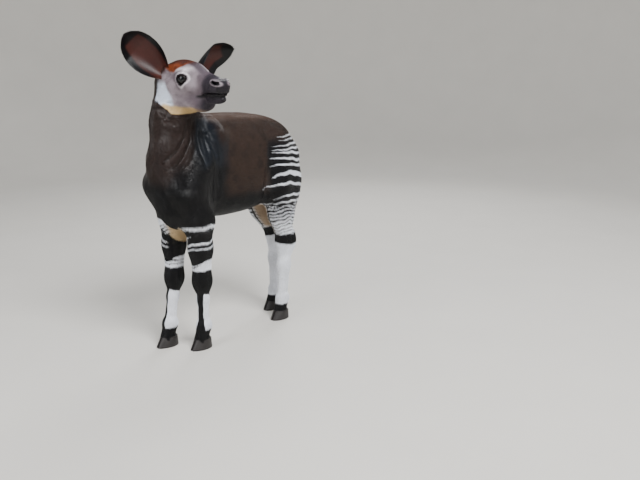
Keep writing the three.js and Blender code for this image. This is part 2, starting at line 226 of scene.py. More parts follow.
@dataclass(frozen=True)
class Build:
    """Driving sizes of the calf in millimetres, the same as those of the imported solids."""

    chest_x: float = 236
    hip_x: float = -270
    stride: float = 35
    fore_out: float = 60
    hind_out: float = 58
    knee_z: float = 268
    knee_back: float = 26
    hock_z: float = 335
    fetlock_z: float = 88
    coronet_z: float = 40
    head_at: Point = (227, 88, 1013)
    head_yaw: float = 86
    head_pitch: float = -3
    head_roll: float = 4

    def foot(self, leg: LegName) -> Point:
        """Where a leg stands.

        Args:
            leg: Which leg.

        Returns:
            The middle of its sole.
        """
        step = self.stride if leg in (LegName.FORE_RIGHT, LegName.HIND_LEFT) else -self.stride
        if leg.fore:
            return (self.chest_x + step, leg.side * self.fore_out, 0)
        return (self.hip_x + step, leg.side * self.hind_out, 0)

    def turn(self) -> np.ndarray:
        """The head's turn as a matrix whose columns are its forward, left and up."""
        yaw = Matrix.Rotation(math.radians(self.head_yaw), 3, "Z")
        pitch = Matrix.Rotation(math.radians(-self.head_pitch), 3, "Y")
        roll = Matrix.Rotation(math.radians(self.head_roll), 3, "X")
        return np.array(yaw @ pitch @ roll)


@dataclass(frozen=True)
class EyeSize:
    """The eyeball and its opening, in the head's frame, in millimetres."""

    at: Point = (25, 41, 5)
    radius: float = 22
    lid: float = 5
    half_long: float = 19
    over: float = 14
    under: float = 19
    facing: Point = (0.42, 0.9, 0.08)

    def centre(self, side: int) -> np.ndarray:
        """The ball's centre on one side."""
        return vec((self.at[0], side * self.at[1], self.at[2]))

    def axes(self, side: int) -> np.ndarray:
        """The eye's own directions.

        Args:
            side: 1 on the left, -1 on the right.

        Returns:
            Rows: out of the eye, towards the nose, and up.
        """
        out = unit(vec((self.facing[0], side * self.facing[1], self.facing[2])))
        nose = unit(vec((1, 0, -0.12)) - out * out[0])
        up = unit(np.cross(out, nose) * -side)
        return np.stack([out, nose, up])

    def lid_gap(self, nose: np.ndarray, up: np.ndarray) -> np.ndarray:
        """Distance outside the opening between the lids, which is wide above and pointed below.

        Args:
            nose: Distance from the opening's middle towards the nose.
            up: Distance above its middle.

        Returns:
            The distance, negative inside the opening.
        """
        along = nose * (1 + 0.55 * np.clip(-up / self.under, 0, 1) ** 2) / self.half_long
        tall = np.where(up > 0, self.over, self.under)
        return (np.hypot(along, up / tall) - 1) * self.over


BUILD = Build()
EYE = EyeSize()
MOUTH: tuple[Point, ...] = ((94, 37, -47), (124, 35, -40), (155, 33, -37), (178, 24, -37), (191, 0, -38))
NOSTRIL_AT: Point = (178, 22, -2)
NOSTRIL_TURN = math.radians(-30)
NOSTRIL_TILT = 0.18
FAR_OFF = 1e4


def mouth_line(x: np.ndarray) -> np.ndarray:
    """Height of the line between the lips, in the head's frame."""
    return np.interp(x, [m[0] for m in MOUTH], [m[2] for m in MOUTH])


class Flesh:
    """The calf's flesh as one field: its forms, melted together."""

    HEAD_REACH = 350
    HEAD_SOFT = 26

    def __init__(self) -> None:
        """Makes the forms from the driving sizes."""
        self.turn = BUILD.turn()
        self.head_at = vec(BUILD.head_at)
        self.legs = {leg: self.fore_leg(leg) if leg.fore else self.hind_leg(leg) for leg in LegName}
        self.trunk = self.make_trunk()
        self.neck = self.make_neck()
        self.skull = self.make_skull()
        self.body: list[Form] = [*self.trunk, *self.neck]
        for forms in self.legs.values():
            self.body.extend(forms)

    @staticmethod
    def make_trunk() -> list[Form]:
        """Chest, barrel, croup, shoulders and thighs."""
        return [
            Muscle((32, 0, 684), (285, 116, 196), 60),
            Muscle((235, 0, 640), (105, 104, 177), 60),
            Muscle((140, 0, 790), (150, 58, 92), 60),
            Muscle((-112, 0, 670), (180, 112, 160), 60),
            Muscle((-76, 0, 782), (208, 84, 99), 60),
            Muscle((-190, 0, 760), (120, 96, 95), 50),
            Muscle((-265, 0, 690), (78, 92, 120), 50),
            *both_sides(lambda s: [
                Bone((105, s * 60, 805), (254, s * 80, 634), 44, 61, 40),
                Bone((254, s * 78, 630), (206, s * 76, 510), 56, 57, 40),
                Bone((-212, s * 50, 764), (-204, s * 70, 600), 67, 68, 50),
                Bone((-284, s * 48, 700), (-270, s * 60, 560), 60, 56, 50),
            ]),
        ]

    def make_neck(self) -> list[Form]:
        """The neck, from the shoulders to the poll and the throat."""
        poll = tuple(self.on_head(vec((-101, -12, -22))))
        throat = tuple(self.on_head(vec((-64, -8, -34))))
        crest = (222, -28, 860)
        breast = (244, -6, 735)
        gullet = toward(breast, throat, 0.55)
        return [
            Bone((150, 0, 745), crest, 92, 71, 60, 0.85),
            Bone(breast, gullet, 84, 60, 60, 0.9),
            Bone(crest, poll, 71, 63, 50, 0.95),
            Bone(gullet, throat, 60, 46, 50, 0.95),
        ]

    @staticmethod
    def fore_joints(leg: LegName) -> tuple[Point, Point, Point, Point]:
        """Places the joints of a fore leg.

        Args:
            leg: Which leg.

        Returns:
            Elbow, knee, fetlock and foot.
        """
        foot = BUILD.foot(leg)
        elbow = (206, leg.side * 76, 500)
        back = BUILD.knee_back if foot[0] > BUILD.chest_x else BUILD.knee_back / 2
        knee = (elbow[0] * 0.3 + foot[0] * 0.7 - back, elbow[1] * 0.2 + foot[1] * 0.78, BUILD.knee_z)
        return elbow, knee, (foot[0] - 10, foot[1], BUILD.fetlock_z), foot

    def fore_leg(self, leg: LegName) -> list[Form]:
        """A fore leg, from the elbow to the coronet.

        Args:
            leg: Which leg.

        Returns:
            Its forms, from the top down.
        """
        elbow, knee, fetlock, foot = self.fore_joints(leg)
        upper = toward(elbow, knee, 0.45)
        cannon = toward(knee, fetlock, 0.4)
        return [
            Bone(elbow, upper, 58, 46, 30, 0.92),
            Bone(upper, knee, 46, 36, 24, 0.92),
            Muscle((knee[0] + 4, knee[1], knee[2] + 2), (37, 34.5, 52), 20),
            Bone(knee, cannon, 31, 25, 20, 0.88),
            Bone(cannon, fetlock, 25, 26, 16, 0.88),
            Muscle((fetlock[0] - 3, fetlock[1], fetlock[2]), (32, 29, 30), 14),
            Bone(fetlock, (foot[0] + 6, foot[1], BUILD.coronet_z - 20), 27, 33, 14),
        ]

    @staticmethod
    def hind_joints(leg: LegName) -> tuple[Point, Point, Point, Point]:
        """Places the joints of a hind leg.

        Args:
            leg: Which leg.

        Returns:
            Stifle, hock, fetlock and foot.
        """
        foot = BUILD.foot(leg)
        hock = (foot[0] - 26, leg.side * 29 + foot[1] * 0.6, BUILD.hock_z)
        return (-192, leg.side * 76, 585), hock, (foot[0] - 12, foot[1], BUILD.fetlock_z), foot

    def hind_leg(self, leg: LegName) -> list[Form]:
        """A hind leg, from the thigh to the coronet.

        Args:
            leg: Which leg.

        Returns:
            Its forms, from the top down.
        """
        stifle, hock, fetlock, foot = self.hind_joints(leg)
        buttock = (-284, leg.side * 66, 600)
        shank = toward(stifle, hock, 0.45)
        cannon = toward(hock, fetlock, 0.4)
        return [
            Bone(stifle, shank, 64, 52, 40, 0.85),
            Bone(buttock, toward(buttock, hock, 0.6), 60, 38, 40, 0.8),
            Bone(shank, hock, 50, 36, 30, 0.82),
            Muscle((hock[0] - 16, hock[1], hock[2] + 14), (46, 32, 58), 24),
            Bone(hock, cannon, 44, 32, 24, 0.76),
            Bone(cannon, fetlock, 32, 26, 20, 0.84),
            Muscle((fetlock[0] - 3, fetlock[1], fetlock[2]), (32, 28, 30), 14),
            Bone(fetlock, (foot[0] + 6, foot[1], BUILD.coronet_z - 20), 26, 32, 14),
        ]

    @staticmethod
    def make_skull() -> list[Form]:
        """The head in its own frame."""
        orbit = EYE.radius + EYE.lid
        return [
            Muscle((-42, 0, 6), (84, 60, 60), 20),
            Muscle((-4, 0, 20), (76, 52, 40), 20),
            Bone((30, 0, 14), (146, 0, -8), 36, 25, 24),
            Muscle((115, 0, -24), (85, 34, 32), 24),
            Muscle((166, 0, -20), (36, 34, 27), 16),
            Muscle((184, 0, -12), (17, 27, 18), 12),
            Muscle((146, 0, -57), (47, 25, 18), 10),
            Bone((-60, 0, -60), (68, 0, -74), 42, 33, 24),
            *both_sides(lambda s: [
                Bone((-25, s * 38, 32), (26, s * 41, 20), 14, 11, 18),
                Muscle(tuple(EYE.centre(s)), (orbit, orbit, orbit), 10),
                Bone((-66, s * 38, -18), (58, s * 32, -22), 28, 19, 26),
                Muscle((-36, s * 33, -50), (58, 26, 50), 28),
                Bone((-62, s * 28, -76), (86, s * 15, -76), 28, 19, 26),
                Muscle((-66, s * 48, 30), (26, 17, 22), 16),
            ]),
        ]

    def to_head(self, p: np.ndarray) -> np.ndarray:
        """Turns body points into the head's frame."""
        return (p - self.head_at) @ self.turn

    def on_head(self, q: np.ndarray) -> np.ndarray:
        """Turns head points into the body's frame."""
        return q @ self.turn.T + self.head_at

    @staticmethod
    def melt(forms: Sequence[Form], p: np.ndarray) -> np.ndarray:
        """Joins forms in their order into one distance.

        Args:
            forms: The forms.
            p: Points in the forms' frame.

        Returns:
            The distance of each point, negative inside.
        """
        d = np.full(len(p), FAR_OFF)
        for form in forms:
            d = smooth_min(d, form.reach(p), form.soft)
        return d

    def distance(self, p: np.ndarray) -> np.ndarray:
        """Measures how far points lie from the surface of the flesh.

        Args:
            p: Points in body millimetres.

        Returns:
            Their distances, negative inside.
        """
        d = self.melt(self.body, p)
        q = self.to_head(p)
        near = (q ** 2).sum(1) < self.HEAD_REACH ** 2
        if near.any():
            d[near] = smooth_min(d[near], self.melt(self.skull, q[near]), self.HEAD_SOFT)
        return d


@dataclass(frozen=True)
class Fold:
    """A crease of loose skin on each side: the points it runs through, and its depth and width.

    The skin swells beside it. Distance across the body counts less, so that the points may lie a little off
    the skin.
    """

    ACROSS: ClassVar[float] = 0.35
    SWELL: ClassVar[float] = 0.5
    SWELL_AT: ClassVar[float] = 1.9

    route: tuple[Point, ...]
    depth: float
    width: float

    def press(self, p: np.ndarray) -> np.ndarray:
        """Measures how far the crease draws the skin in.

        Args:
            p: Points in body millimetres.

        Returns:
            The depth at each point, below 0 where the skin swells beside the crease.
        """
        squeeze = np.array([1, self.ACROSS, 1])
        q = np.stack([p[:, 0], np.abs(p[:, 1]), p[:, 2]], 1) * squeeze
        away = np.full(len(p), 1e3)
        for start, end in zip(self.route, self.route[1:]):
            a, e = vec(start) * squeeze, (vec(end) - vec(start)) * squeeze
            t = np.clip((q - a) @ e / (e @ e), 0, 1)
            away = np.minimum(away, np.linalg.norm(q - a - t[:, None] * e, axis=1))
        swell = np.exp(-((away - self.SWELL_AT * self.width) / self.width) ** 2)
        return self.depth * (np.exp(-(away / self.width) ** 2) - self.SWELL * swell)


FOLDS = (
    Fold(((236, 70, 872), (254, 78, 812), (290, 76, 760), (326, 60, 726)), 3.6, 6.5),
    Fold(((216, 72, 866), (234, 84, 802), (268, 88, 746), (304, 80, 706)), 4.2, 6.5),
    Fold(((196, 80, 870), (205, 88, 819), (207, 109, 762), (200, 130, 703)), 3.0, 7.5),
    Fold(((172, 84, 864), (180, 92, 815), (180, 108, 768)), 2.6, 7.0),
    Fold(((166, 94, 817), (156, 119, 758), (147, 118, 685), (137, 94, 582)), 3.4, 9.0),
    Fold(((290, 46, 930), (298, 42, 884), (280, 64, 862)), 3.2, 6.0),
    Fold(((306, 20, 912), (300, 44, 868), (278, 66, 850)), 2.8, 6.0),
    Fold(((-110, 100, 690), (-104, 104, 620), (-118, 92, 560)), 3.4, 9.0),
)


@dataclass(frozen=True)
class Skin:
    """The skin under the coat: the flesh drawn in by the coat's depth, with folds, lids and lips."""

    flesh: Flesh
    reach_low: Point = (-380, -175, 26)
    reach_high: Point = (362, 312, 1112)
    cell: float = 5.0
    coat_depth: float = 4.2
    less_on_legs: float = 1.2
    less_on_face: float = 2.4
    lid_crease: float = 23.5
    lid_crease_depth: float = 1.3
    lip_from: float = 92
    lip_swell: float = 1.4

    def depth(self, p: np.ndarray, q: np.ndarray) -> np.ndarray:
        """Measures how deep the skin lies under the top of the coat.

        Args:
            p: Points in body millimetres.
            q: The same points in the head's frame.

        Returns:
            The depth at each point.
        """
        on_face = ease(-110, 10, q[:, 0]) * (p[:, 2] > 880)
        low = ease(520, 420, p[:, 2])
        return self.coat_depth - self.less_on_legs * low - self.less_on_face * on_face

    def distance(self, p: np.ndarray) -> np.ndarray:
        """Measures how far points lie from the skin.

        Args:
            p: Points in body millimetres.

        Returns:
            Their distances, negative inside.
        """
        q = self.flesh.to_head(p)
        d = self.flesh.distance(p) + self.depth(p, q)
        loose = np.flatnonzero((np.abs(d) < 30) & (p[:, 2] > 540))
        if len(loose):
            d[loose] += sum(fold.press(p[loose]) for fold in FOLDS)
        near = (np.abs(q - vec((60, 0, -20))) < vec((190, 110, 120))).all(1)
        if near.any():
            d[near] = self.carve_face(q[near], d[near])
        return d

    def carve_face(self, q: np.ndarray, d: np.ndarray) -> np.ndarray:
        """Opens the lids, hollows the nostrils and parts the lips.

        Args:
            q: Points in the head's frame.
            d: Their distance to the plain skin.

        Returns:
            Their distance to the finished skin.
        """
        for side in (1, -1):
            out, nose, up = ((q - EYE.centre(side)) @ EYE.axes(side).T).T
            opening = np.maximum(EYE.lid_gap(nose, up - 0.1 * nose), 3 - out)
            gap = np.sqrt(out ** 2 + nose ** 2 + up ** 2) - EYE.radius - 0.4
            crease = np.abs(np.hypot(nose / 1.25, up) - self.lid_crease)
            crease = crease + np.where(up > 4, 0, 20) + np.where(out > 0, 0, 20)
            d = d + self.lid_crease_depth * np.exp(-(crease / 1.6) ** 2)
            d = smooth_max(d, -opening, 2.2)
            d = np.maximum(d, -gap)
            d = self.hollow_nostril(q, d, side)
        return self.part_lips(q, d)

    @staticmethod
    def hollow_nostril(q: np.ndarray, d: np.ndarray, side: int) -> np.ndarray:
        """Raises a rim round one nostril and hollows it.

        Args:
            q: Points in the head's frame.
            d: Their distance to the skin.
            side: 1 for the left nostril, -1 for the right.

        Returns:
            Their distance to the hollowed skin.
        """
        x, y, z = (q - vec((NOSTRIL_AT[0], side * NOSTRIL_AT[1], NOSTRIL_AT[2]))).T
        turn = NOSTRIL_TURN * side
        along = x * math.cos(turn) + y * math.sin(turn)
        across = y * math.cos(turn) - x * math.sin(turn)
        lift = z + NOSTRIL_TILT * along
        rim = np.sqrt((along / 19) ** 2 + (across / 11) ** 2 + (lift / 11) ** 2) - 1
        d = smooth_min(d, rim * 10, 8)
        arched = lift - 0.02 * along ** 2
        hole = np.sqrt((along / 14) ** 2 + ((across - 5 * side) / 11) ** 2 + (arched / 5.2) ** 2) - 1
        return smooth_max(d, -hole * 6, 2.5)

    def part_lips(self, q: np.ndarray, d: np.ndarray) -> np.ndarray:
        """Cuts the line of the mouth and swells the lips beside it.

        Args:
            q: Points in the head's frame.
            d: Their distance to the skin.

        Returns:
            Their distance to the skin with its lips.
        """
        off = q[:, 2] - mouth_line(q[:, 0])
        inside = ease(self.lip_from, self.lip_from + 10, q[:, 0])
        lips = np.exp(-((np.abs(off) - 5) / 4) ** 2) * inside
        d = d - self.lip_swell * lips
        slit = np.maximum(np.abs(off) - 1.5 * inside, -d - 7)
        slit = np.where(q[:, 0] > self.lip_from + 1, slit, 9.0)
        return smooth_max(d, -slit, 1.6)

    def draw_on(self, p: np.ndarray, turns: int = 3) -> np.ndarray:
        """Moves points along the slope of the field on to the skin.

        Args:
            p: Points in body millimetres.
            turns: How many moves are made.

        Returns:
            The moved points.
        """
        longest = 2.5
        for _ in range(turns):
            d = self.distance(p)
            slope = self.slope(p)
            move = slope * (-d / np.maximum((slope ** 2).sum(1), 0.25))[:, None]
            size = np.linalg.norm(move, axis=1, keepdims=True)
            p = p + move * np.minimum(1, longest / np.maximum(size, 1e-9))
        return p

    def slope(self, p: np.ndarray, step: float = 0.4) -> np.ndarray:
        """Measures the field's slope: the way out of the skin.

        Args:
            p: Points in body millimetres.
            step: How far off each point the field is read.

        Returns:
            One slope a row.
        """
        sides = []
        for axis in range(3):
            shift = np.zeros(3)
            shift[axis] = step
            sides.append((self.distance(p + shift) - self.distance(p - shift)) / (2 * step))
        return np.stack(sides, 1)

    def refine(self, mesh: bpy.types.Mesh, keep: Callable[[np.ndarray], np.ndarray]) -> None:
        """Halves the edges where keep says so.

        Args:
            mesh: The mesh, in body millimetres.
            keep: Says for head points whether they lie in the part to refine.
        """
        made = bmesh.new()
        made.from_mesh(mesh)
        points = np.array([v.co for v in made.verts])
        chosen = keep(self.flesh.to_head(points))
        made.verts.ensure_lookup_table()
        edges = [e for e in made.edges if chosen[e.verts[0].index] and chosen[e.verts[1].index]]
        bmesh.ops.subdivide_edges(made, edges=edges, cuts=1, use_grid_fill=True)
        made.to_mesh(mesh)
        made.free()

    def build(self) -> tuple[np.ndarray, np.ndarray]:
        """Builds the skin.

        Returns:
            Its points in body millimetres and its triangles.
        """
        points, quads = surface(self.distance, vec(self.reach_low), vec(self.reach_high), self.cell)
        mesh = bpy.data.meshes.new("skin_draft")
        mesh.from_pydata(self.draw_on(points, 2).tolist(), [], quads.tolist())
        self.refine(mesh, lambda q: (np.abs(q - vec((40, 0, -20))) < vec((175, 100, 120))).all(1))
        self.refine(mesh, self.on_fine_face)
        mesh.calc_loop_triangles()
        points = np.zeros(len(mesh.vertices) * 3)
        mesh.vertices.foreach_get("co", points)
        triangles = np.zeros(len(mesh.loop_triangles) * 3, np.int32)
        mesh.loop_triangles.foreach_get("vertices", triangles)
        bpy.data.meshes.remove(mesh)
        return self.draw_on(points.reshape(-1, 3)), triangles.reshape(-1, 3)

    @staticmethod
    def on_fine_face(q: np.ndarray) -> np.ndarray:
        """Says which points lie round the eyes, nostrils or lips.

        Args:
            q: Points in the head's frame.

        Returns:
            True for each such point.
        """
        eyes = np.minimum(*[np.linalg.norm(q - EYE.centre(s), axis=1) for s in (1, -1)]) < 36
        muzzle = (q[:, 0] > 88) & (q[:, 2] > -66) & (q[:, 2] < 16)
        return eyes | muzzle


def surface(distance: Field, low: np.ndarray, high: np.ndarray, cell: float) -> tuple[np.ndarray, np.ndarray]:
    """Nets the surface where a field is 0.

    Args:
        distance: The field, close to a true distance near the surface.
        low: Lowest corner of the box.
        high: Highest corner of the box.
        cell: Size of a cell.

    Returns:
        The points and the four-sided faces.
    """
    block = 5
    count = (np.ceil((high - low) / (cell * block)).astype(int)) * block
    places = [low[i] + (np.arange(count[i] // block) + 0.5) * block * cell for i in range(3)]
    coarse = distance(np.stack(np.meshgrid(*places, indexing="ij"), -1).reshape(-1, 3))
    coarse = coarse.reshape(count // block)
    value = coarse.repeat(block, 0).repeat(block, 1).repeat(block, 2)
    near = np.argwhere(np.abs(value) < block * cell * 1.5)
    value[tuple(near.T)] = np.concatenate([
        distance(low + part * cell) for part in np.array_split(near, max(1, len(near) // 60000))
    ])
    inside = value < 0
    corners = [(i & 1, i >> 1 & 1, i >> 2) for i in range(8)]
    spans = [slice(0, -1), slice(1, None)]
    filled = sum(inside[spans[a], spans[b], spans[c]].astype(np.int8) for a, b, c in corners)
    cells = np.argwhere((filled > 0) & (filled < 8))
    total = np.zeros((len(cells), 3))
    hits = np.zeros(len(cells))
    for a in range(8):
        for bit in (1, 2, 4):
            if a & bit:
                continue
            start, end = vec(corners[a]), vec(corners[a | bit])
            va = value[tuple((cells + start.astype(int)).T)]
            vb = value[tuple((cells + end.astype(int)).T)]
            cross = (va < 0) != (vb < 0)
            t = va / np.where(cross, va - vb, 1)
            total += np.where(cross[:, None], start + t[:, None] * (end - start), 0)
            hits += cross
    points = low + (cells + total / hits[:, None]) * cell
    number = np.full(np.array(value.shape) - 1, -1, np.int32)
    number[tuple(cells.T)] = np.arange(len(cells))
    faces = []
    for axis in range(3):
        u, v = (axis + 1) % 3, (axis + 2) % 3
        ahead = np.moveaxis(inside, axis, 0)
        change = np.moveaxis(ahead[1:] != ahead[:-1], 0, axis)
        edges = np.argwhere(change)
        edges = edges[(edges[:, u] > 0) & (edges[:, v] > 0)]
        du, dv = np.eye(3, dtype=int)[u], np.eye(3, dtype=int)[v]
        ring = [edges - du - dv, edges - dv, edges, edges - du]
        quad = np.stack([number[tuple(r.T)] for r in ring], 1)
        flip = ~inside[tuple(edges.T)]
        quad[flip] = quad[flip][:, ::-1]
        faces.append(quad)
    return points, np.concatenate(faces)


# Markings


class Hue(Enum):
    """Colours of the coat, as they look in soft daylight."""

    BLACK = "#060609"
    # Painted sheen: the bluish reflection of the sky on the black coat, not a colour of the hair.
    PAINTED_SHEEN = "#10161f"
    FLANK = "#30231d"
    RIDGE = "#4a382f"
    NECK = "#261b18"
    CROWN = "#3a1a15"
    RUFOUS = "#7c3b1c"
    LILAC = "#978c93"
    MAUVE = "#574b54"
    # Near white: the pale line round the lids, and a painted highlight on the ridge over the eye.
    LID_LINE_AND_BROW_HIGHLIGHT = "#e0dade"
    CHEEK = "#cfd8e6"
    CREAM = "#bb9f6e"
    TAUPE = "#a08c76"
    MUZZLE = "#2c262f"
    LIPS = "#0e0c11"
    WHITE = "#e2e5ec"
    EAR_INSIDE = "#40201c"
    # Painted shade deep in the ear's hollow.
    EAR_HOLLOW_SHADE = "#1e0f10"
    EAR_BASE = "#5a2c1e"

    def rgb(self) -> np.ndarray:
        """The colour in linear light."""
        return vec(linear(self.value))


@dataclass
class Dress:
    """What the coat looks like at some points: the dark hair, the pale hair, and which of them shows.

    pale is a distance in millimetres, above 0 inside a pale mark.
    """

    dark: np.ndarray
    light: np.ndarray
    pale: np.ndarray

    @staticmethod
    def plain(count: int, dark: Hue, light: Hue = Hue.WHITE) -> "Dress":
        """One dark hair everywhere, with no pale mark."""
        return Dress(np.tile(dark.rgb(), (count, 1)), np.tile(light.rgb(), (count, 1)), np.full(count, -30.0))

    def tint(self, hue: Hue, amount: np.ndarray) -> None:
        """Mixes a hue into the dark hair."""
        self.dark = blend(self.dark, hue.rgb(), np.clip(amount, 0, 1))

    def tint_light(self, hue: Hue, amount: np.ndarray) -> None:
        """Mixes a hue into the pale hair."""
        self.light = blend(self.light, hue.rgb(), np.clip(amount, 0, 1))

    def mark(self, amount: np.ndarray) -> None:
        """Adds a pale mark, given as a distance above 0 inside it."""
        self.pale = np.maximum(self.pale, amount)

    def clear(self, amount: np.ndarray) -> None:
        """Takes a dark mark out of the pale ones."""
        self.pale = np.minimum(self.pale, -amount)

    def take(self, rows: np.ndarray) -> "Dress":
        """The same for a choice of rows."""
        return Dress(self.dark[rows], self.light[rows], self.pale[rows])


@dataclass(frozen=True)
class HaunchStripe:
    """One white stripe of the haunch.

    It has its height behind and in front, how far forward it runs, its width and its arch.
    """

    rear_z: float
    front_z: float
    front_x: float
    width: float
    arch: float = 0.0


HAUNCH: tuple[HaunchStripe, ...] = (
    HaunchStripe(803, 789, -170, 6),
    HaunchStripe(783, 776, -172, 5),
    HaunchStripe(762, 755, -140, 7),
    HaunchStripe(742, 740, -134, 7),
    HaunchStripe(716, 731, -134, 9, 4),
    HaunchStripe(686, 710, -124, 11, 6),
    HaunchStripe(664, 679, -122, 10, 8),
    HaunchStripe(622, 630, -128, 19, 20),
    HaunchStripe(584, 592, -92, 12, 16),
    HaunchStripe(545, 544, -150, 11, 8),
    HaunchStripe(520, 520, -140, 9, 6),
)


@dataclass(frozen=True)
class ForeMarks:
    """Heights of the marks of a fore leg and half their thickness, in millimetres, before their wander.

    A line is its height on the inner side, how far it rises to the outer side, and half its thickness.
    """

    band_z: float = 478
    band_lift: float = 15
    band_half: float = 7.5
    lines: tuple[Point, ...] = ((417, 17, 3.4), (398, 16, 2.8))
    short_z: float = 452
    short_half: float = 1.6
    patch_low: float = 414
    patch_slant: float = 56
    patch_high: float = 508
    patch_front_left: float = -42
    patch_front_right: float = 26
    streaks: int = 4
    streak_z: float = 444
    streak_apart: float = 13
    streak_half: float = 2.9
    wedge_low: float = 317
    wedge_high: float = 339
    wedge_lift: float = 21
    wedge_lines: tuple[float, ...] = (330, 343)
    cannon_low: float = 80
    cannon_high: float = 231
    stripe: tuple[float, float] = (-8, 52)


@dataclass(frozen=True)
class HindMarks:
    """Heights of the marks of a hind leg and half their thickness, in millimetres, before their wander."""

    gaskin_low: float = 378
    gaskin_high: float = 512
    gaskin_pitch: float = 14.5
    gaskin_half: float = 2.4
    gaskin_half_more: float = 2.6
    thigh_low: float = 386
    thigh_high: float = 585
    ticks: int = 8
    tick_z: float = 405
    tick_apart: float = 15
    tick_half: float = 2.4
    ring_low: float = 334
    ring_high: float = 372
    middle_turn: float = 95
    cannon_low: float = 63
    foot_black: float = 70


FORE_MARKS = ForeMarks()
HIND_MARKS = HindMarks()
NO_MARK = -20


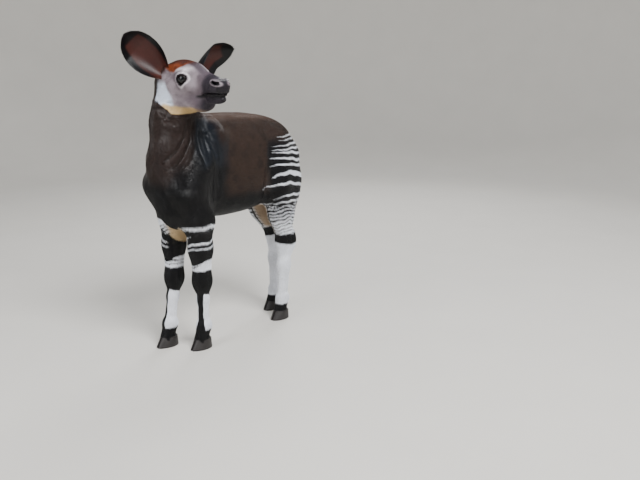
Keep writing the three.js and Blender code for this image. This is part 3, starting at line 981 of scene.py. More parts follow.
class Markings:
    """Where the coat is dark, pale or coloured, over the whole skin."""

    def __init__(self, flesh: Flesh) -> None:
        """Keeps the flesh and draws the wanders of the edges.

        Args:
            flesh: The flesh under the coat.
        """
        self.flesh = flesh
        self.slow = Ripple(3, 90)
        self.wave = Ripple(5, 55)
        self.quick = Ripple(11, 24)

    def at(self, p: np.ndarray) -> Dress:
        """Gives the dress of the skin.

        Args:
            p: Points in body millimetres.

        Returns:
            What the coat looks like at each point.
        """
        q = self.flesh.to_head(p)
        legs = {leg: Flesh.melt(forms, p) for leg, forms in self.flesh.legs.items()}
        dress = self.trunk(p)
        for leg, gap in legs.items():
            self.leg(dress, p, leg, gap)
        self.haunch(dress, p)
        self.head(dress, p, q)
        return dress

    def trunk(self, p: np.ndarray) -> Dress:
        """Black shoulder and chest with a painted bluish sheen over the top, brown flank, neck and haunch,
        lighter ridge of the back.

        Args:
            p: Points in body millimetres.

        Returns:
            What the coat looks like before the pale marks are added.
        """
        x, y, z = p.T
        dress = Dress.plain(len(p), Hue.BLACK)
        wander = self.slow.at(p)
        # Painted sheen: a bluish reflection of the sky over the top of the shoulder and back.
        dress.tint(Hue.PAINTED_SHEEN, ease(690, 730, z + 10 * wander) * ease(250, 200, x + 8 * wander))
        flank = ease(118, 70, x + 14 * wander - 0.1 * (z - 700)) * ease(-130, -100, x + 6 * wander)
        dress.tint(Hue.FLANK, flank * ease(560, 610, z + 8 * wander) * 0.95)
        dress.tint(Hue.FLANK, ease(730, 790, z + 16 * wander) * ease(90, 20, x) * 0.95)
        cloud = self.wave.at(p) + 0.7 * self.quick.at(p)
        dress.tint(Hue.BLACK, ease(0.1, 1.3, cloud) * 0.45)
        neck = ease(700, 770, z + 0.9 * (x - 250) + 10 * wander) * ease(214, 240, x + 0.32 * (z - 800))
        dress.tint(Hue.NECK, np.maximum(neck, ease(865, 890, z) * (x > 120)) * 0.95)
        ridge = ease(842, 872, z + 5 * wander) * ease(150, 90, x) * ease(80, 40, np.abs(y))
        dress.tint(Hue.RIDGE, ridge * 0.85)
        dress.tint(Hue.BLACK, ease(-112, -136, x + 4 * wander) * ease(790, 740, z + 0.2 * (x + 110)) * 0.97)
        dress.tint(Hue.BLACK, ease(570, 520, z) * 0.9)
        return dress

    def haunch(self, dress: Dress, p: np.ndarray) -> None:
        """White stripes over the back half of each haunch and down the thigh.

        Args:
            dress: What the coat looks like, which is marked.
            p: Points in body millimetres.
        """
        x, y, z = p.T
        outer = ease(10, 60, np.abs(y) + 0.25 * np.maximum(-300 - x, 0)) * (x < -60)
        wave = 2.8 * self.wave.at(p * vec((1, 1, 0.35))) + 0.6 * self.quick.at(p)
        rear_x = -318.0
        for stripe in HAUNCH:
            span = stripe.front_x - rear_x
            t = np.clip((x - rear_x) / span, -0.3, 1.4)
            line = stripe.rear_z + (stripe.front_z - stripe.rear_z) * t
            line = line + stripe.arch * np.sin(math.pi * np.clip(t, 0, 1)) + wave
            taper = np.clip((1.02 - t) * 1.6, 0, 1) ** 0.7
            half = stripe.width / 2 * taper
            dress.mark(np.where((t < 1.02) & (outer > 0.5), half - np.abs(z - line), NO_MARK))

    def leg(self, dress: Dress, p: np.ndarray, leg: LegName, gap: np.ndarray) -> None:
        """Bands, rings and cannons of one leg.

        Args:
            dress: What the coat looks like, which is marked.
            p: Points in body millimetres.
            leg: Which leg.
            gap: Distance of each point to the leg's flesh.
        """
        joints = Flesh.fore_joints(leg) if leg.fore else Flesh.hind_joints(leg)
        z = p[:, 2]
        heights = [j[2] for j in joints][::-1]
        cx = np.interp(z, heights, [j[0] for j in joints][::-1])
        cy = np.interp(z, heights, [j[1] for j in joints][::-1])
        turn = np.degrees(np.arctan2((p[:, 1] - cy) * leg.side, p[:, 0] - cx))
        mine = (gap < 25) & (p[:, 1] * leg.side > 0)
        if leg.fore:
            mine &= (z < 520) & (p[:, 0] > 60)
        else:
            mine &= (z < 560) & (p[:, 0] < -60)
        rows = np.flatnonzero(mine)
        part = dress.take(rows)
        if leg.fore:
            self.fore_leg(part, p[rows], turn[rows], leg)
        else:
            self.hind_leg(part, p[rows], turn[rows])
        dress.dark[rows], dress.light[rows], dress.pale[rows] = part.dark, part.light, part.pale

    def fore_leg(self, dress: Dress, p: np.ndarray, turn: np.ndarray, leg: LegName) -> None:
        """One fore leg: top band, thin lines, inner patch, wedge above the knee and white cannon.

        Args:
            dress: What the coat looks like, which is marked.
            p: Points in body millimetres.
            turn: Turn of each point round the leg in degrees: 0 in front, above 0 on the outer side.
            leg: Which leg.
        """
        m = FORE_MARKS
        z = p[:, 2]
        wave = 2.6 * self.wave.at(p) + 0.5 * self.quick.at(p)
        outward = np.clip((turn + 50) / 160, 0, 1)
        outer = ease(-38, -12, turn)
        dress.tint(Hue.BLACK, ease(505, 480, z))
        band = m.band_half * ease(-60, -30, turn)
        dress.mark(band - np.abs(z - m.band_z - m.band_lift * outward - wave) - 0.5)
        bend = 3.5 * np.sin(np.radians(turn * 3))
        for height, lift, half in m.lines:
            dress.mark(half * outer - np.abs(z - height - lift * outward - wave - bend) - 0.2)
        short = m.short_half * ease(-40, -25, turn) * ease(20, 0, turn)
        dress.mark(short - np.abs(z - m.short_z - 0.25 * turn - wave))
        low = m.patch_low + m.patch_slant * ease(-95, 20, turn) - 0.05 * np.abs(turn + 95) + wave
        patch = np.minimum(z - low, m.patch_high - z)
        front = m.patch_front_left if leg.side > 0 else m.patch_front_right
        dress.mark(np.minimum(patch, (front - turn) * 0.5))
        dress.tint_light(Hue.CREAM, ease(395, 405, z) * ease(-14, -44, turn) * 0.9)
        for k in range(m.streaks):
            height = m.streak_z + m.streak_apart * k
            streak = m.streak_half * ease(-62, -10, turn) - np.abs(z - height + 0.25 * (turn + 20) - wave)
            dress.clear(np.where((turn < 30) & (z < 490), streak, NO_MARK))
        wedge_low = m.wedge_low - 2 * ease(0, -60, turn) + 0.6 * wave
        wedge_high = m.wedge_high + m.wedge_lift * ease(0, 100, np.abs(turn)) + wave
        dress.mark(np.minimum(z - wedge_low, wedge_high - z))
        inner = ease(25, -5, turn) * ease(-150, -115, turn)
        for height in m.wedge_lines:
            dress.clear(2.4 * inner - np.abs(z - height - 1.2 * wave) - 0.3)
        dress.clear(2.0 * ease(60, 20, turn) * outer - np.abs(z - wedge_high + 7 - 0.1 * turn))
        cannon_high = m.cannon_high - 0.12 * np.abs(turn) + 0.8 * wave
        dress.mark(np.minimum(z - m.cannon_low - 0.8 * wave, cannon_high - z))
        ragged = 1.6 * self.quick.at(p * vec((1, 1, 0.6)))
        stripe = np.minimum(turn - m.stripe[0], m.stripe[1] - turn) * 0.5
        stripe = stripe + ragged + 5 * ease(200, 235, z) + 5 * ease(105, 80, z)
        dress.clear(np.where(z < 240, stripe, NO_MARK))

    def hind_leg(self, dress: Dress, p: np.ndarray, turn: np.ndarray) -> None:
        """One hind leg: fine wavy lines down the gaskin, black ring at the hock, white cannon.

        Args:
            dress: What the coat looks like, which is marked.
            p: Points in body millimetres.
            turn: Turn of each point round the leg in degrees: 0 in front, above 0 on the outer side.
        """
        m = HIND_MARKS
        z = p[:, 2]
        wave = 2.6 * self.wave.at(p) + 0.25 * self.quick.at(p)
        off_middle = np.abs(turn - m.middle_turn)
        dress.tint(Hue.BLACK, ease(580, 540, z))
        inner = (turn < -5) & (turn > -165)
        sag = 7 * np.cos(np.radians(2 * (turn - m.middle_turn)))
        along = (z - m.gaskin_low + 1.6 * wave - sag) % m.gaskin_pitch
        lines = np.abs(along - m.gaskin_pitch / 2)
        gaskin = m.gaskin_half + m.gaskin_half_more * ease(500, 410, z) - lines
        dress.mark(np.where((z < m.gaskin_high) & (z > m.gaskin_low) & ~inner, gaskin, NO_MARK))
        thigh = np.minimum(np.minimum(z - m.thigh_low - wave, m.thigh_high - z), -turn * 0.8 - 10)
        dress.mark(np.where((turn < 0) & (turn > -170), thigh, NO_MARK))
        dress.tint_light(Hue.TAUPE, ease(380, 400, z) * ease(0, -30, turn))
        for k in range(m.ticks):
            height = m.tick_z + m.tick_apart * k
            tick = m.tick_half * ease(-40, -12, turn) - np.abs(z - height - 0.3 * (turn + 20) - wave)
            dress.clear(np.where(inner, tick, NO_MARK))
        ring_low = m.ring_low + 0.13 * off_middle
        ring_high = m.ring_high + 0.12 * off_middle
        dress.clear(np.minimum(z - ring_low, ring_high - z) + 0.7 * wave)
        cannon = np.minimum(z - m.cannon_low - 0.6 * wave, ring_low - 2 - z - 0.7 * wave)
        dress.mark(np.where(z < m.ring_high, cannon, NO_MARK))
        dress.clear(np.where(z < 100, m.foot_black - z - 0.5 * wave, NO_MARK))

    def head(self, dress: Dress, p: np.ndarray, q: np.ndarray) -> None:
        """Grey face, rufous forehead, painted highlight over the eye, white cheek, cream jaw and dark muzzle.

        Args:
            dress: What the coat looks like, which is marked.
            p: Points in body millimetres.
            q: The same points in the head's frame.
        """
        x, y, z = q.T
        wander = self.wave.at(p)
        back = x + 98 - 1.6 * np.maximum(-62 - z, 0) - 0.3 * np.maximum(z + 60, 0) + 4 * wander
        face = np.minimum(back, z + 116 + 2 * wander)
        near = (face > -30) & (p[:, 2] > 860) & (np.abs(y) < 110)
        rows = np.flatnonzero(near)
        x, z, side, wander, face = x[rows], z[rows], np.abs(y[rows]), wander[rows], face[rows]
        mottle = self.quick.at(p[rows])
        part = Dress.plain(len(rows), Hue.NECK, Hue.LILAC)
        part.mark(face)
        part.tint_light(Hue.MAUVE, ease(-0.4, 1.4, wander + 0.6 * mottle) * 0.5)
        part.tint_light(Hue.MAUVE, np.exp(-((x - 56) / 34) ** 2 - ((z + 52) / 22) ** 2) * 0.7)
        part.tint_light(Hue.CHEEK, ease(7, -7, x + 36 + 0.39 * (z + 34) + 5 * wander) * ease(4, -22, z))
        jaw = ease(-82, -93, z + 0.06 * (x - 10) + 3 * wander) * ease(-70, -45, x)
        part.tint_light(Hue.CREAM, jaw * 0.95)
        bridge = ease(26, 12, side) * ease(-5, 15, z) * ease(0, 34, x)
        part.tint_light(Hue.MAUVE, bridge * 0.8)
        part.tint_light(Hue.MUZZLE, bridge * 0.4)
        # Painted highlight: a white patch of light on the ridge over the eye.
        brow_highlight = np.exp(-((z - 33 - 0.12 * (x - 10)) / 9) ** 2 - ((x - 28) / 32) ** 2)
        brow_highlight = brow_highlight * ease(14, 30, side)
        part.tint_light(Hue.LID_LINE_AND_BROW_HIGHLIGHT, brow_highlight * 0.85)
        height = z - 27 - 0.75 * np.maximum(x + 6, 0) - 0.5 * np.maximum(-34 - x, 0) + 3 * wander
        part.tint_light(Hue.RUFOUS, ease(-2, 5, height))
        part.tint_light(Hue.CROWN, ease(-2, 5, height) * ease(0.1, 0.9, mottle) * 0.55)
        part.tint_light(Hue.CROWN, ease(50, 60, z + 2 * wander) * ease(76, 50, x) * 0.85)
        part.tint_light(Hue.CROWN, ease(-40, -62, x + 5 * wander) * ease(12, 34, z))
        part.tint_light(Hue.MAUVE, ease(66, 104, x - 0.25 * (z + 10) + 5 * wander) * 0.75)
        part.tint_light(Hue.MUZZLE, ease(100, 132, x - 0.3 * (z + 10) + 5 * wander))
        lip_half = 5 + 0.13 * np.maximum(x - 90, 0)
        lips = np.exp(-((z - mouth_line(x) + 4) / lip_half) ** 2) * ease(68, 88, x)
        part.tint_light(Hue.LIPS, lips)
        self.nostril(part, x, side, z)
        self.eyelids(part, x, side, z)
        dress.light[rows] = blend(dress.light[rows], part.light, ease(-30, -10, face))
        dress.pale[rows] = np.maximum(dress.pale[rows], part.pale)

    @staticmethod
    def nostril(part: Dress, x: np.ndarray, side: np.ndarray, z: np.ndarray) -> None:
        """Grey rim round a black nostril, on a black nose.

        Args:
            part: What the face looks like, which is marked.
            x: Place along the head.
            side: Distance from the head's middle.
            z: Height in the head's frame.
        """
        dx, dy = x - NOSTRIL_AT[0], side - NOSTRIL_AT[1]
        along = dx * math.cos(NOSTRIL_TURN) + dy * math.sin(NOSTRIL_TURN)
        ring = np.hypot(along / 14, (z - NOSTRIL_AT[2] + NOSTRIL_TILT * along) / 5.6)
        close = ease(150, 158, x) * ease(4, 9, side)
        part.tint_light(Hue.LIPS, ease(182, 190, x) * 0.8)
        part.tint_light(Hue.LILAC, np.exp(-((ring - 1.55) / 0.32) ** 2) * close * 0.6)
        part.tint_light(Hue.LIPS, ease(1.25, 1.0, ring) * close)

    @staticmethod
    def eyelids(part: Dress, x: np.ndarray, side: np.ndarray, z: np.ndarray) -> None:
        """Black lids with a white line round them.

        Args:
            part: What the face looks like, which is marked.
            x: Place along the head.
            side: Distance from the head's middle.
            z: Height in the head's frame.
        """
        out, nose, up = ((np.stack([x, side, z], 1) - EYE.centre(1)) @ EYE.axes(1).T).T
        gap = np.where(out > -6, EYE.lid_gap(nose, up - 0.1 * nose), 60)
        ring = 0.35 + 0.5 * ease(-4, 10, up) + 0.35 * ease(-2, -12, up) * ease(-8, 6, nose)
        part.tint_light(Hue.LID_LINE_AND_BROW_HIGHLIGHT, np.exp(-((gap - 7.5) / 3.0) ** 2) * np.minimum(ring, 0.9))
        part.tint_light(Hue.MAUVE, np.exp(-((gap - 13) / 5) ** 2) * ease(4, -8, nose) * 0.7)
        part.tint_light(Hue.LIPS, ease(4.4, 2.4, gap))


# Meshes


class Mesher:
    """Turns body millimetres into the frame's metres and makes objects of them."""

    def __init__(self, flesh: Flesh) -> None:
        """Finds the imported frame's place from the left eye's ball."""
        low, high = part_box("eye_left")
        self.shift = np.array((low + high) / 2) / MM - flesh.on_head(EYE.centre(1))

    def world(self, p: np.ndarray) -> np.ndarray:
        """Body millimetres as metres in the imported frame."""
        return (p + self.shift) * MM

    def make(self, name: str, points: np.ndarray, faces: np.ndarray, material: bpy.types.Material,
             slot: str, smooth: bool = True) -> bpy.types.Object:
        """Makes one piece that rides on the still body.

        Args:
            name: The piece's name.
            points: Its points in body millimetres.
            faces: Its faces, all with the same number of corners.
            material: Its finish.
            slot: The record's slot; not used.
            smooth: Whether it is shaded smooth.

        Returns:
            The new object.
        """
        mesh = bpy.data.meshes.new(name)
        corners = faces.shape[1]
        mesh.vertices.add(len(points))
        mesh.vertices.foreach_set("co", self.world(points).astype(np.float32).ravel())
        mesh.loops.add(faces.size)
        mesh.loops.foreach_set("vertex_index", faces.astype(np.int32).ravel())
        mesh.polygons.add(len(faces))
        mesh.polygons.foreach_set("loop_start", np.arange(len(faces), dtype=np.int32) * corners)
        mesh.update(calc_edges=True)
        mesh.validate()
        mesh.polygons.foreach_set("use_smooth", np.full(len(mesh.polygons), smooth))
        mesh.materials.append(material)
        piece = bpy.data.objects.new(name, mesh)
        bpy.context.scene.collection.objects.link(piece)
        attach(piece, "root")
        LOG.info("%s: %d faces", name, len(faces))
        return piece


def set_colour(piece: bpy.types.Object, name: str, values: np.ndarray) -> None:
    """Stores one colour a point on a piece."""
    made = piece.data.attributes.new(name, "FLOAT_COLOR", "POINT")
    made.data.foreach_set("color", np.c_[values, np.ones(len(values))].astype(np.float32).ravel())


def set_value(piece: bpy.types.Object, name: str, values: np.ndarray) -> None:
    """Stores one number a point on a piece."""
    made = piece.data.attributes.new(name, "FLOAT", "POINT")
    made.data.foreach_set("value", values.astype(np.float32))


def set_dress(piece: bpy.types.Object, dress: Dress) -> None:
    """Stores what the coat looks like on a piece.

    Args:
        piece: The piece.
        dress: Its hair, one row a point.
    """
    set_colour(piece, "dark_hair", dress.dark)
    set_colour(piece, "pale_hair", dress.light)
    set_value(piece, "pale_mm", dress.pale)


def loft_faces(rows: int, around: int) -> np.ndarray:
    """Makes the faces between the rings of a lofted piece.

    Args:
        rows: How many bands of faces there are.
        around: How many points a ring has.

    Returns:
        One four-sided face a row.
    """
    low = np.arange(rows)[:, None] * around
    here = np.arange(around)
    after = (here + 1) % around
    return np.stack([low + here, low + after, low + around + after, low + around + here], 2).reshape(-1, 4)


def split(faces: np.ndarray) -> np.ndarray:
    """Splits four-sided faces into triangles."""
    return np.concatenate([faces[:, [0, 1, 2]], faces[:, [0, 2, 3]]])


def normals_of(points: np.ndarray, triangles: np.ndarray) -> np.ndarray:
    """Gives the normal at each point of a triangle mesh.

    Args:
        points: The mesh's points.
        triangles: The mesh's triangles.

    Returns:
        One normal a point.
    """
    a, b, c = (points[triangles[:, i]] for i in range(3))
    flat = np.cross(b - a, c - a)
    total = np.zeros_like(points)
    for i in range(3):
        np.add.at(total, triangles[:, i], flat)
    return unit(total)


# Finishes


class Graph:
    """A material's node tree, filled a node at a time."""

    def __init__(self, name: str) -> None:
        """Makes an empty material.

        Args:
            name: The material's name.
        """
        self.material = bpy.data.materials.new(name)
        self.material.use_nodes = True
        self.tree = self.material.node_tree
        self.tree.nodes.clear()
        self.output = self.tree.nodes.new("ShaderNodeOutputMaterial")

    def add(self, kind: str, settings: dict | None = None, **inputs) -> bpy.types.Node:
        """Adds a node with its settings and links.

        Args:
            kind: The node's type.
            settings: Its own properties.
            **inputs: Values or output sockets for its inputs, by name with _ for a space, or in_0, in_1.

        Returns:
            The node.
        """
        node = self.tree.nodes.new(kind)
        for key, value in (settings or {}).items():
            setattr(node, key, value)
        for key, value in inputs.items():
            place = int(key[3:]) if key.startswith("in_") else key.replace("_", " ")
            socket = node.inputs[place]
            if isinstance(value, bpy.types.NodeSocket):
                self.tree.links.new(value, socket)
            else:
                socket.default_value = value
        return node

    def finish(self, surface_node: bpy.types.Node) -> bpy.types.Material:
        """Links the shader to the output and returns the material."""
        self.tree.links.new(surface_node.outputs[0], self.output.inputs["Surface"])
        return self.material


def rgba(code: str) -> tuple[float, float, float, float]:
    """A hex colour as linear red, green, blue and full cover."""
    return (*linear(code), 1.0)


def colour_stops(ramp: bpy.types.Node, stops: Sequence[tuple[float, str]]) -> None:
    """Sets the colours of a ramp.

    Args:
        ramp: The ramp's node.
        stops: Each stop's place and hex colour, in order.
    """
    elements = ramp.color_ramp.elements
    for n, (where, code) in enumerate(stops):
        stop = elements[n] if n < 2 else elements.new(where)
        stop.position = where
        stop.color = rgba(code)


@dataclass(frozen=True)
class HairCoat:
    """Short sleek calf hair, combed flat.

    The dark and pale hairs meet in a ragged edge as wide as a hair tip, and noise about 3.5 mm and 60 mm wide
    keeps the colour from lying flat. A hair is too fine to show, so the smaller noise is as wide as a lock.
    The low roughness gives the eye the gloss of a sleek coat.
    """

    name: str
    ragged_mm: float
    tuft: bool
    edge_mm: float = 2.2
    lock_mm: float = 3.5
    cloud_mm: float = 60
    bump_mm: float = 0.5
    roughness: float = 0.4
    specular: float = 0.26

    def material(self) -> bpy.types.Material:
        """Builds the finish."""
        g = Graph(self.name)
        place = g.add("ShaderNodeTexCoord").outputs["Object"]
        stored = ("dark_hair", "pale_hair", "pale_mm")
        dark, pale, edge = (g.add("ShaderNodeAttribute", {"attribute_name": name}) for name in stored)
        ragged = g.add("ShaderNodeTexNoise", Vector=place, Scale=1 / (self.edge_mm * MM), Detail=2.0)
        shift = g.add("ShaderNodeMath", {"operation": "MULTIPLY_ADD"}, in_0=ragged.outputs["Fac"],
                      in_1=2 * self.ragged_mm, in_2=-self.ragged_mm)
        moved = g.add("ShaderNodeMath", {"operation": "ADD"}, in_0=edge.outputs["Fac"], in_1=shift.outputs[0])
        share = g.add("ShaderNodeMapRange", {"interpolation_type": "SMOOTHSTEP"}, Value=moved.outputs[0],
                      From_Min=-0.6, From_Max=0.6)
        colour = g.add("ShaderNodeMix", {"data_type": "RGBA"}, in_0=share.outputs[0],
                       in_6=dark.outputs["Color"], in_7=pale.outputs["Color"])
        locks = g.add("ShaderNodeTexNoise", Vector=place, Scale=1 / (self.lock_mm * MM), Detail=4.0)
        clouds = g.add("ShaderNodeTexNoise", Vector=place, Scale=1 / (self.cloud_mm * MM), Detail=3.0)
        vary = g.add("ShaderNodeMath", {"operation": "MULTIPLY_ADD"}, in_0=locks.outputs["Fac"], in_1=0.5,
                     in_2=0.5)
        vary = g.add("ShaderNodeMath", {"operation": "MULTIPLY_ADD"}, in_0=clouds.outputs["Fac"], in_1=0.5,
                     in_2=vary.outputs[0])
        if self.tuft:
            own = g.add("ShaderNodeAttribute", {"attribute_name": "tone"})
            vary = g.add("ShaderNodeMath", {"operation": "MULTIPLY"}, in_0=vary.outputs[0],
                         in_1=own.outputs["Fac"])
        toned = g.add("ShaderNodeVectorMath", {"operation": "SCALE"}, in_0=colour.outputs[2],
                      Scale=vary.outputs[0])
        bump = g.add("ShaderNodeBump", Strength=0.35, Distance=self.bump_mm * MM, Height=locks.outputs["Fac"])
        skin = g.add("ShaderNodeBsdfPrincipled", Base_Color=toned.outputs[0], Roughness=self.roughness,
                     Specular_IOR_Level=self.specular, Normal=bump.outputs[0])
        return g.finish(skin)


@dataclass(frozen=True)
class WetEye:
    """A calf's eye: a wet cornea over a near-black pupil and a dark brown iris.

    The clear coat gives the eye its sharp highlight, and the blue-black pupil its depth. A stop is a share
    of the way from the pupil's middle to the ball's side, and the colour there.
    """

    stops: tuple[tuple[float, str], ...] = (
        (0.40, "#04050a"), (0.50, "#0f0908"), (0.70, "#160d0a"), (0.78, "#070506"), (0.92, "#0c0908"),
    )

    def material(self) -> bpy.types.Material:
        """Builds the finish."""
        g = Graph("wet_dark_eye")
        away = g.add("ShaderNodeAttribute", {"attribute_name": "iris_mm"})
        ramp = g.add("ShaderNodeValToRGB", Fac=away.outputs["Fac"])
        colour_stops(ramp, self.stops)
        ball = g.add("ShaderNodeBsdfPrincipled", Base_Color=ramp.outputs["Color"], Roughness=0.3,
                     Specular_IOR_Level=0.1, Coat_Weight=0.8, Coat_Roughness=0.02, Coat_IOR=1.38)
        return g.finish(ball)


@dataclass(frozen=True)
class HoofHorn:
    """Grown horn, dull and dark, with growth rings about 3 mm apart.

    The rings give the eye the fine steps of a hoof's wall, and the grain keeps its black from lying flat.
    """

    ring_mm: float = 3
    grain_mm: float = 2
    roughness: float = 0.5

    def material(self) -> bpy.types.Material:
        """Builds the finish."""
        g = Graph("hoof_horn")
        place = g.add("ShaderNodeTexCoord")
        rings = g.add("ShaderNodeTexWave", {"bands_direction": "Z"}, Vector=place.outputs["Object"],
                      Scale=0.175 / (self.ring_mm * MM), Distortion=2.0, Detail=2.0)
        grain = g.add("ShaderNodeTexNoise", Vector=place.outputs["Object"], Scale=1 / (self.grain_mm * MM),
                      Detail=4.0)
        ramp = g.add("ShaderNodeValToRGB", Fac=grain.outputs["Fac"])
        colour_stops(ramp, ((0.3, "#141215"), (0.8, "#2c2725")))
        bump = g.add("ShaderNodeBump", Strength=0.4, Distance=0.6 * MM, Height=rings.outputs["Fac"])
        horn = g.add("ShaderNodeBsdfPrincipled", Base_Color=ramp.outputs["Color"], Roughness=self.roughness,
                     Normal=bump.outputs[0])
        return g.finish(horn)


@dataclass(frozen=True)
class StudioFloor:
    """Matt painted floor, pale and plain, with a mottle too faint to draw the eye from the calf."""

    def material(self) -> bpy.types.Material:
        """Builds the finish."""
        g = Graph("matt_floor")
        place = g.add("ShaderNodeTexCoord")
        mottle = g.add("ShaderNodeTexNoise", Vector=place.outputs["Object"], Scale=3.0, Detail=3.0)
        ramp = g.add("ShaderNodeValToRGB", Fac=mottle.outputs["Fac"])
        colour_stops(ramp, ((0.0, "#cfccc6"), (1.0, "#d6d3cd")))
        paint = g.add("ShaderNodeBsdfPrincipled", Base_Color=ramp.outputs["Color"], Roughness=0.85)
        return g.finish(paint)


# The coat


def along_skin(way: np.ndarray, normal: np.ndarray) -> np.ndarray:
    """Lays directions down on the skin, at right angles to its normals."""
    return unit(way - normal * (way * normal).sum(1, keepdims=True))


class Lie:
    """Which way the hair lies over the body: one direction a part, and a small stray."""

    TRUNK: Point = (-1, 0, -0.38)
    NECK: Point = (-0.35, 0, -0.9)
    LEG: Point = (-0.1, 0, -1)
    HEAD: Point = (-1, 0, -0.15)
    STRAY = 0.15
    STRAY_APART = 400

    def __init__(self, flesh: Flesh) -> None:
        """Keeps the flesh whose parts guide the hair."""
        self.flesh = flesh
        self.stray = Ripple(17, 60)

    def at(self, p: np.ndarray, normal: np.ndarray) -> np.ndarray:
        """The direction of the hair at skin points, along the skin.

        Args:
            p: Points in body millimetres.
            normal: The skin's normals there.

        Returns:
            One direction a row, at right angles to the normal.
        """
        q = self.flesh.to_head(p)
        head = np.clip(1 - Flesh.melt(self.flesh.skull, q) / 30, 0, 1) * (p[:, 2] > 850)
        neck = ease(740, 830, p[:, 2]) * (p[:, 0] > 90) * (1 - head)
        leg = ease(560, 470, p[:, 2])
        way = np.tile(vec(self.TRUNK), (len(p), 1))
        parts = ((vec(self.NECK), neck), (vec(self.LEG), leg), (self.flesh.turn @ vec(self.HEAD), head))
        for direction, share in parts:
            way = blend(way, np.tile(direction, (len(p), 1)), share)
        stray = [self.stray.at(p + self.STRAY_APART * k) for k in (0, 1, -1)]
        return along_skin(way + self.STRAY * np.stack(stray, 1), normal)


@dataclass(frozen=True)
class TuftSize:
    """Size of the tufts of one region, in millimetres, and how far they stand off the skin."""

    long: float
    wide: float
    thick: float
    stand: float
    spacing: float


@dataclass
class Roots:
    """Where tufts are rooted, one row a tuft, and how the hair lies and looks there.

    The chart is each root's place on the unwrapped skin, from 0 to 1.
    """

    at: np.ndarray
    normal: np.ndarray
    way: np.ndarray
    dress: Dress
    chart: np.ndarray

    def take(self, rows: np.ndarray) -> "Roots":
        """The same for a choice of rows."""
        at, normal, way, chart = (values[rows] for values in (self.at, self.normal, self.way, self.chart))
        return Roots(at, normal, way, self.dress.take(rows), chart)


@dataclass
class Coat:
    """Tufts of hair rooted over a triangle mesh.

    A tuft is a slim pyramid. Its base is two corners, its ridge is near the root, and its tip is the last
    corner. Each tuft has its own small patch of the chart.
    """

    mesher: Mesher
    material: bpy.types.Material
    most: int = 46000
    swing: float = 0.13
    sunk: float = 0.7
    ridge_up: float = 1.5
    ridge_on: float = 0.18
    tones: tuple[float, ...] = (0.8, 0.8, 0.95, 1.12)
    pyramid: tuple[tuple[int, int, int], ...] = ((0, 2, 1), (0, 3, 2), (2, 3, 1), (0, 1, 3))
    corners: tuple[tuple[float, float], ...] = ((0, 0), (1, 0), (0.5, 0.5), (0.5, 1))
    patch: float = 0.003
    chart_share: float = 0.99

    def scatter(self, points: np.ndarray, normals: np.ndarray, triangles: np.ndarray, spacing: float,
                seed: int) -> tuple[np.ndarray, np.ndarray, np.ndarray]:
        """Draws roots over triangles.

        Args:
            points: The skin's points.
            normals: The skin's normals at its points.
            triangles: The skin's triangles to cover.
            spacing: The wanted gap between roots.
            seed: Seed of the draw.

        Returns:
            The roots, the normals there, and the number of the skin's point nearest to each.
        """
        draw = np.random.default_rng(seed)
        a, b, c = (points[triangles[:, i]] for i in range(3))
        wanted = np.linalg.norm(np.cross(b - a, c - a), axis=1) / 2 / spacing ** 2
        count = np.floor(wanted + draw.random(len(wanted))).astype(int)
        chosen = np.repeat(np.arange(len(triangles)), count)
        u, v = draw.random((2, len(chosen)))
        over = u + v > 1
        u, v = np.where(over, 1 - u, u), np.where(over, 1 - v, v)
        share = np.stack([1 - u - v, u, v], 1)
        ends = triangles[chosen]
        root = (points[ends] * share[:, :, None]).sum(1)
        normal = unit((normals[ends] * share[:, :, None]).sum(1))
        return root, normal, ends[np.arange(len(ends)), share.argmax(1)]

    def tufts(self, name: str, roots: Roots, size: TuftSize, slot: str, seed: int) -> None:
        """Makes one piece of coat, whose tufts lie along the skin.

        Args:
            name: The piece's name.
            roots: Where the tufts are rooted.
            size: Size of the tufts.
            slot: The record's slot.
            seed: Seed of the draw.
        """
        draw = np.random.default_rng(seed)
        count = len(roots.at)
        normal = roots.normal
        side = np.cross(normal, roots.way)
        way = unit(roots.way + side * draw.normal(0, self.swing, count)[:, None])
        side = np.cross(normal, way)
        long = size.long * draw.uniform(0.75, 1.25, count)[:, None]
        wide = size.wide * draw.uniform(0.8, 1.2, count)[:, None]
        stand = size.stand * draw.uniform(0.4, 1.6, count)[:, None]
        base = roots.at - normal * size.thick * self.sunk
        ridge = base + normal * (size.thick * self.ridge_up) + way * long * self.ridge_on
        tip = roots.at + way * long + normal * stand
        points = np.stack([base - side * wide / 2, base + side * wide / 2, ridge, tip], 1).reshape(-1, 3)
        start = (np.arange(count) * 4)[:, None, None]
        faces = (start + np.array(self.pyramid)).reshape(-1, 3)
        piece = self.mesher.make(name, points, faces, self.material, slot, smooth=False)
        set_dress(piece, roots.dress.take(np.repeat(np.arange(count), 4)))
        tone = draw.normal(1, 0.13, count).clip(0.6, 1.5)[:, None] * np.array(self.tones)
        set_value(piece, "tone", tone.ravel())
        self.place_on_chart(piece, faces, roots.chart, self.corners)

    def place_on_chart(self, piece: bpy.types.Object, faces: np.ndarray, chart: np.ndarray,
                       corners: Sequence[Sequence[float]]) -> None:
        """Gives each group of corners its own patch, at its root's place on the unwrapped skin.

        Args:
            piece: The piece of coat.
            faces: Its faces.
            chart: The place of each group of corners.
            corners: Each corner's place in a patch, from 0 to 1.
        """
        uv = (chart[:, None, :] * self.chart_share + np.array(corners) * self.patch).reshape(-1, 2)
        layer = piece.data.uv_layers.new(name="OFBake")
        layer.data.foreach_set("uv", uv[faces.ravel()].astype(np.float32).ravel())


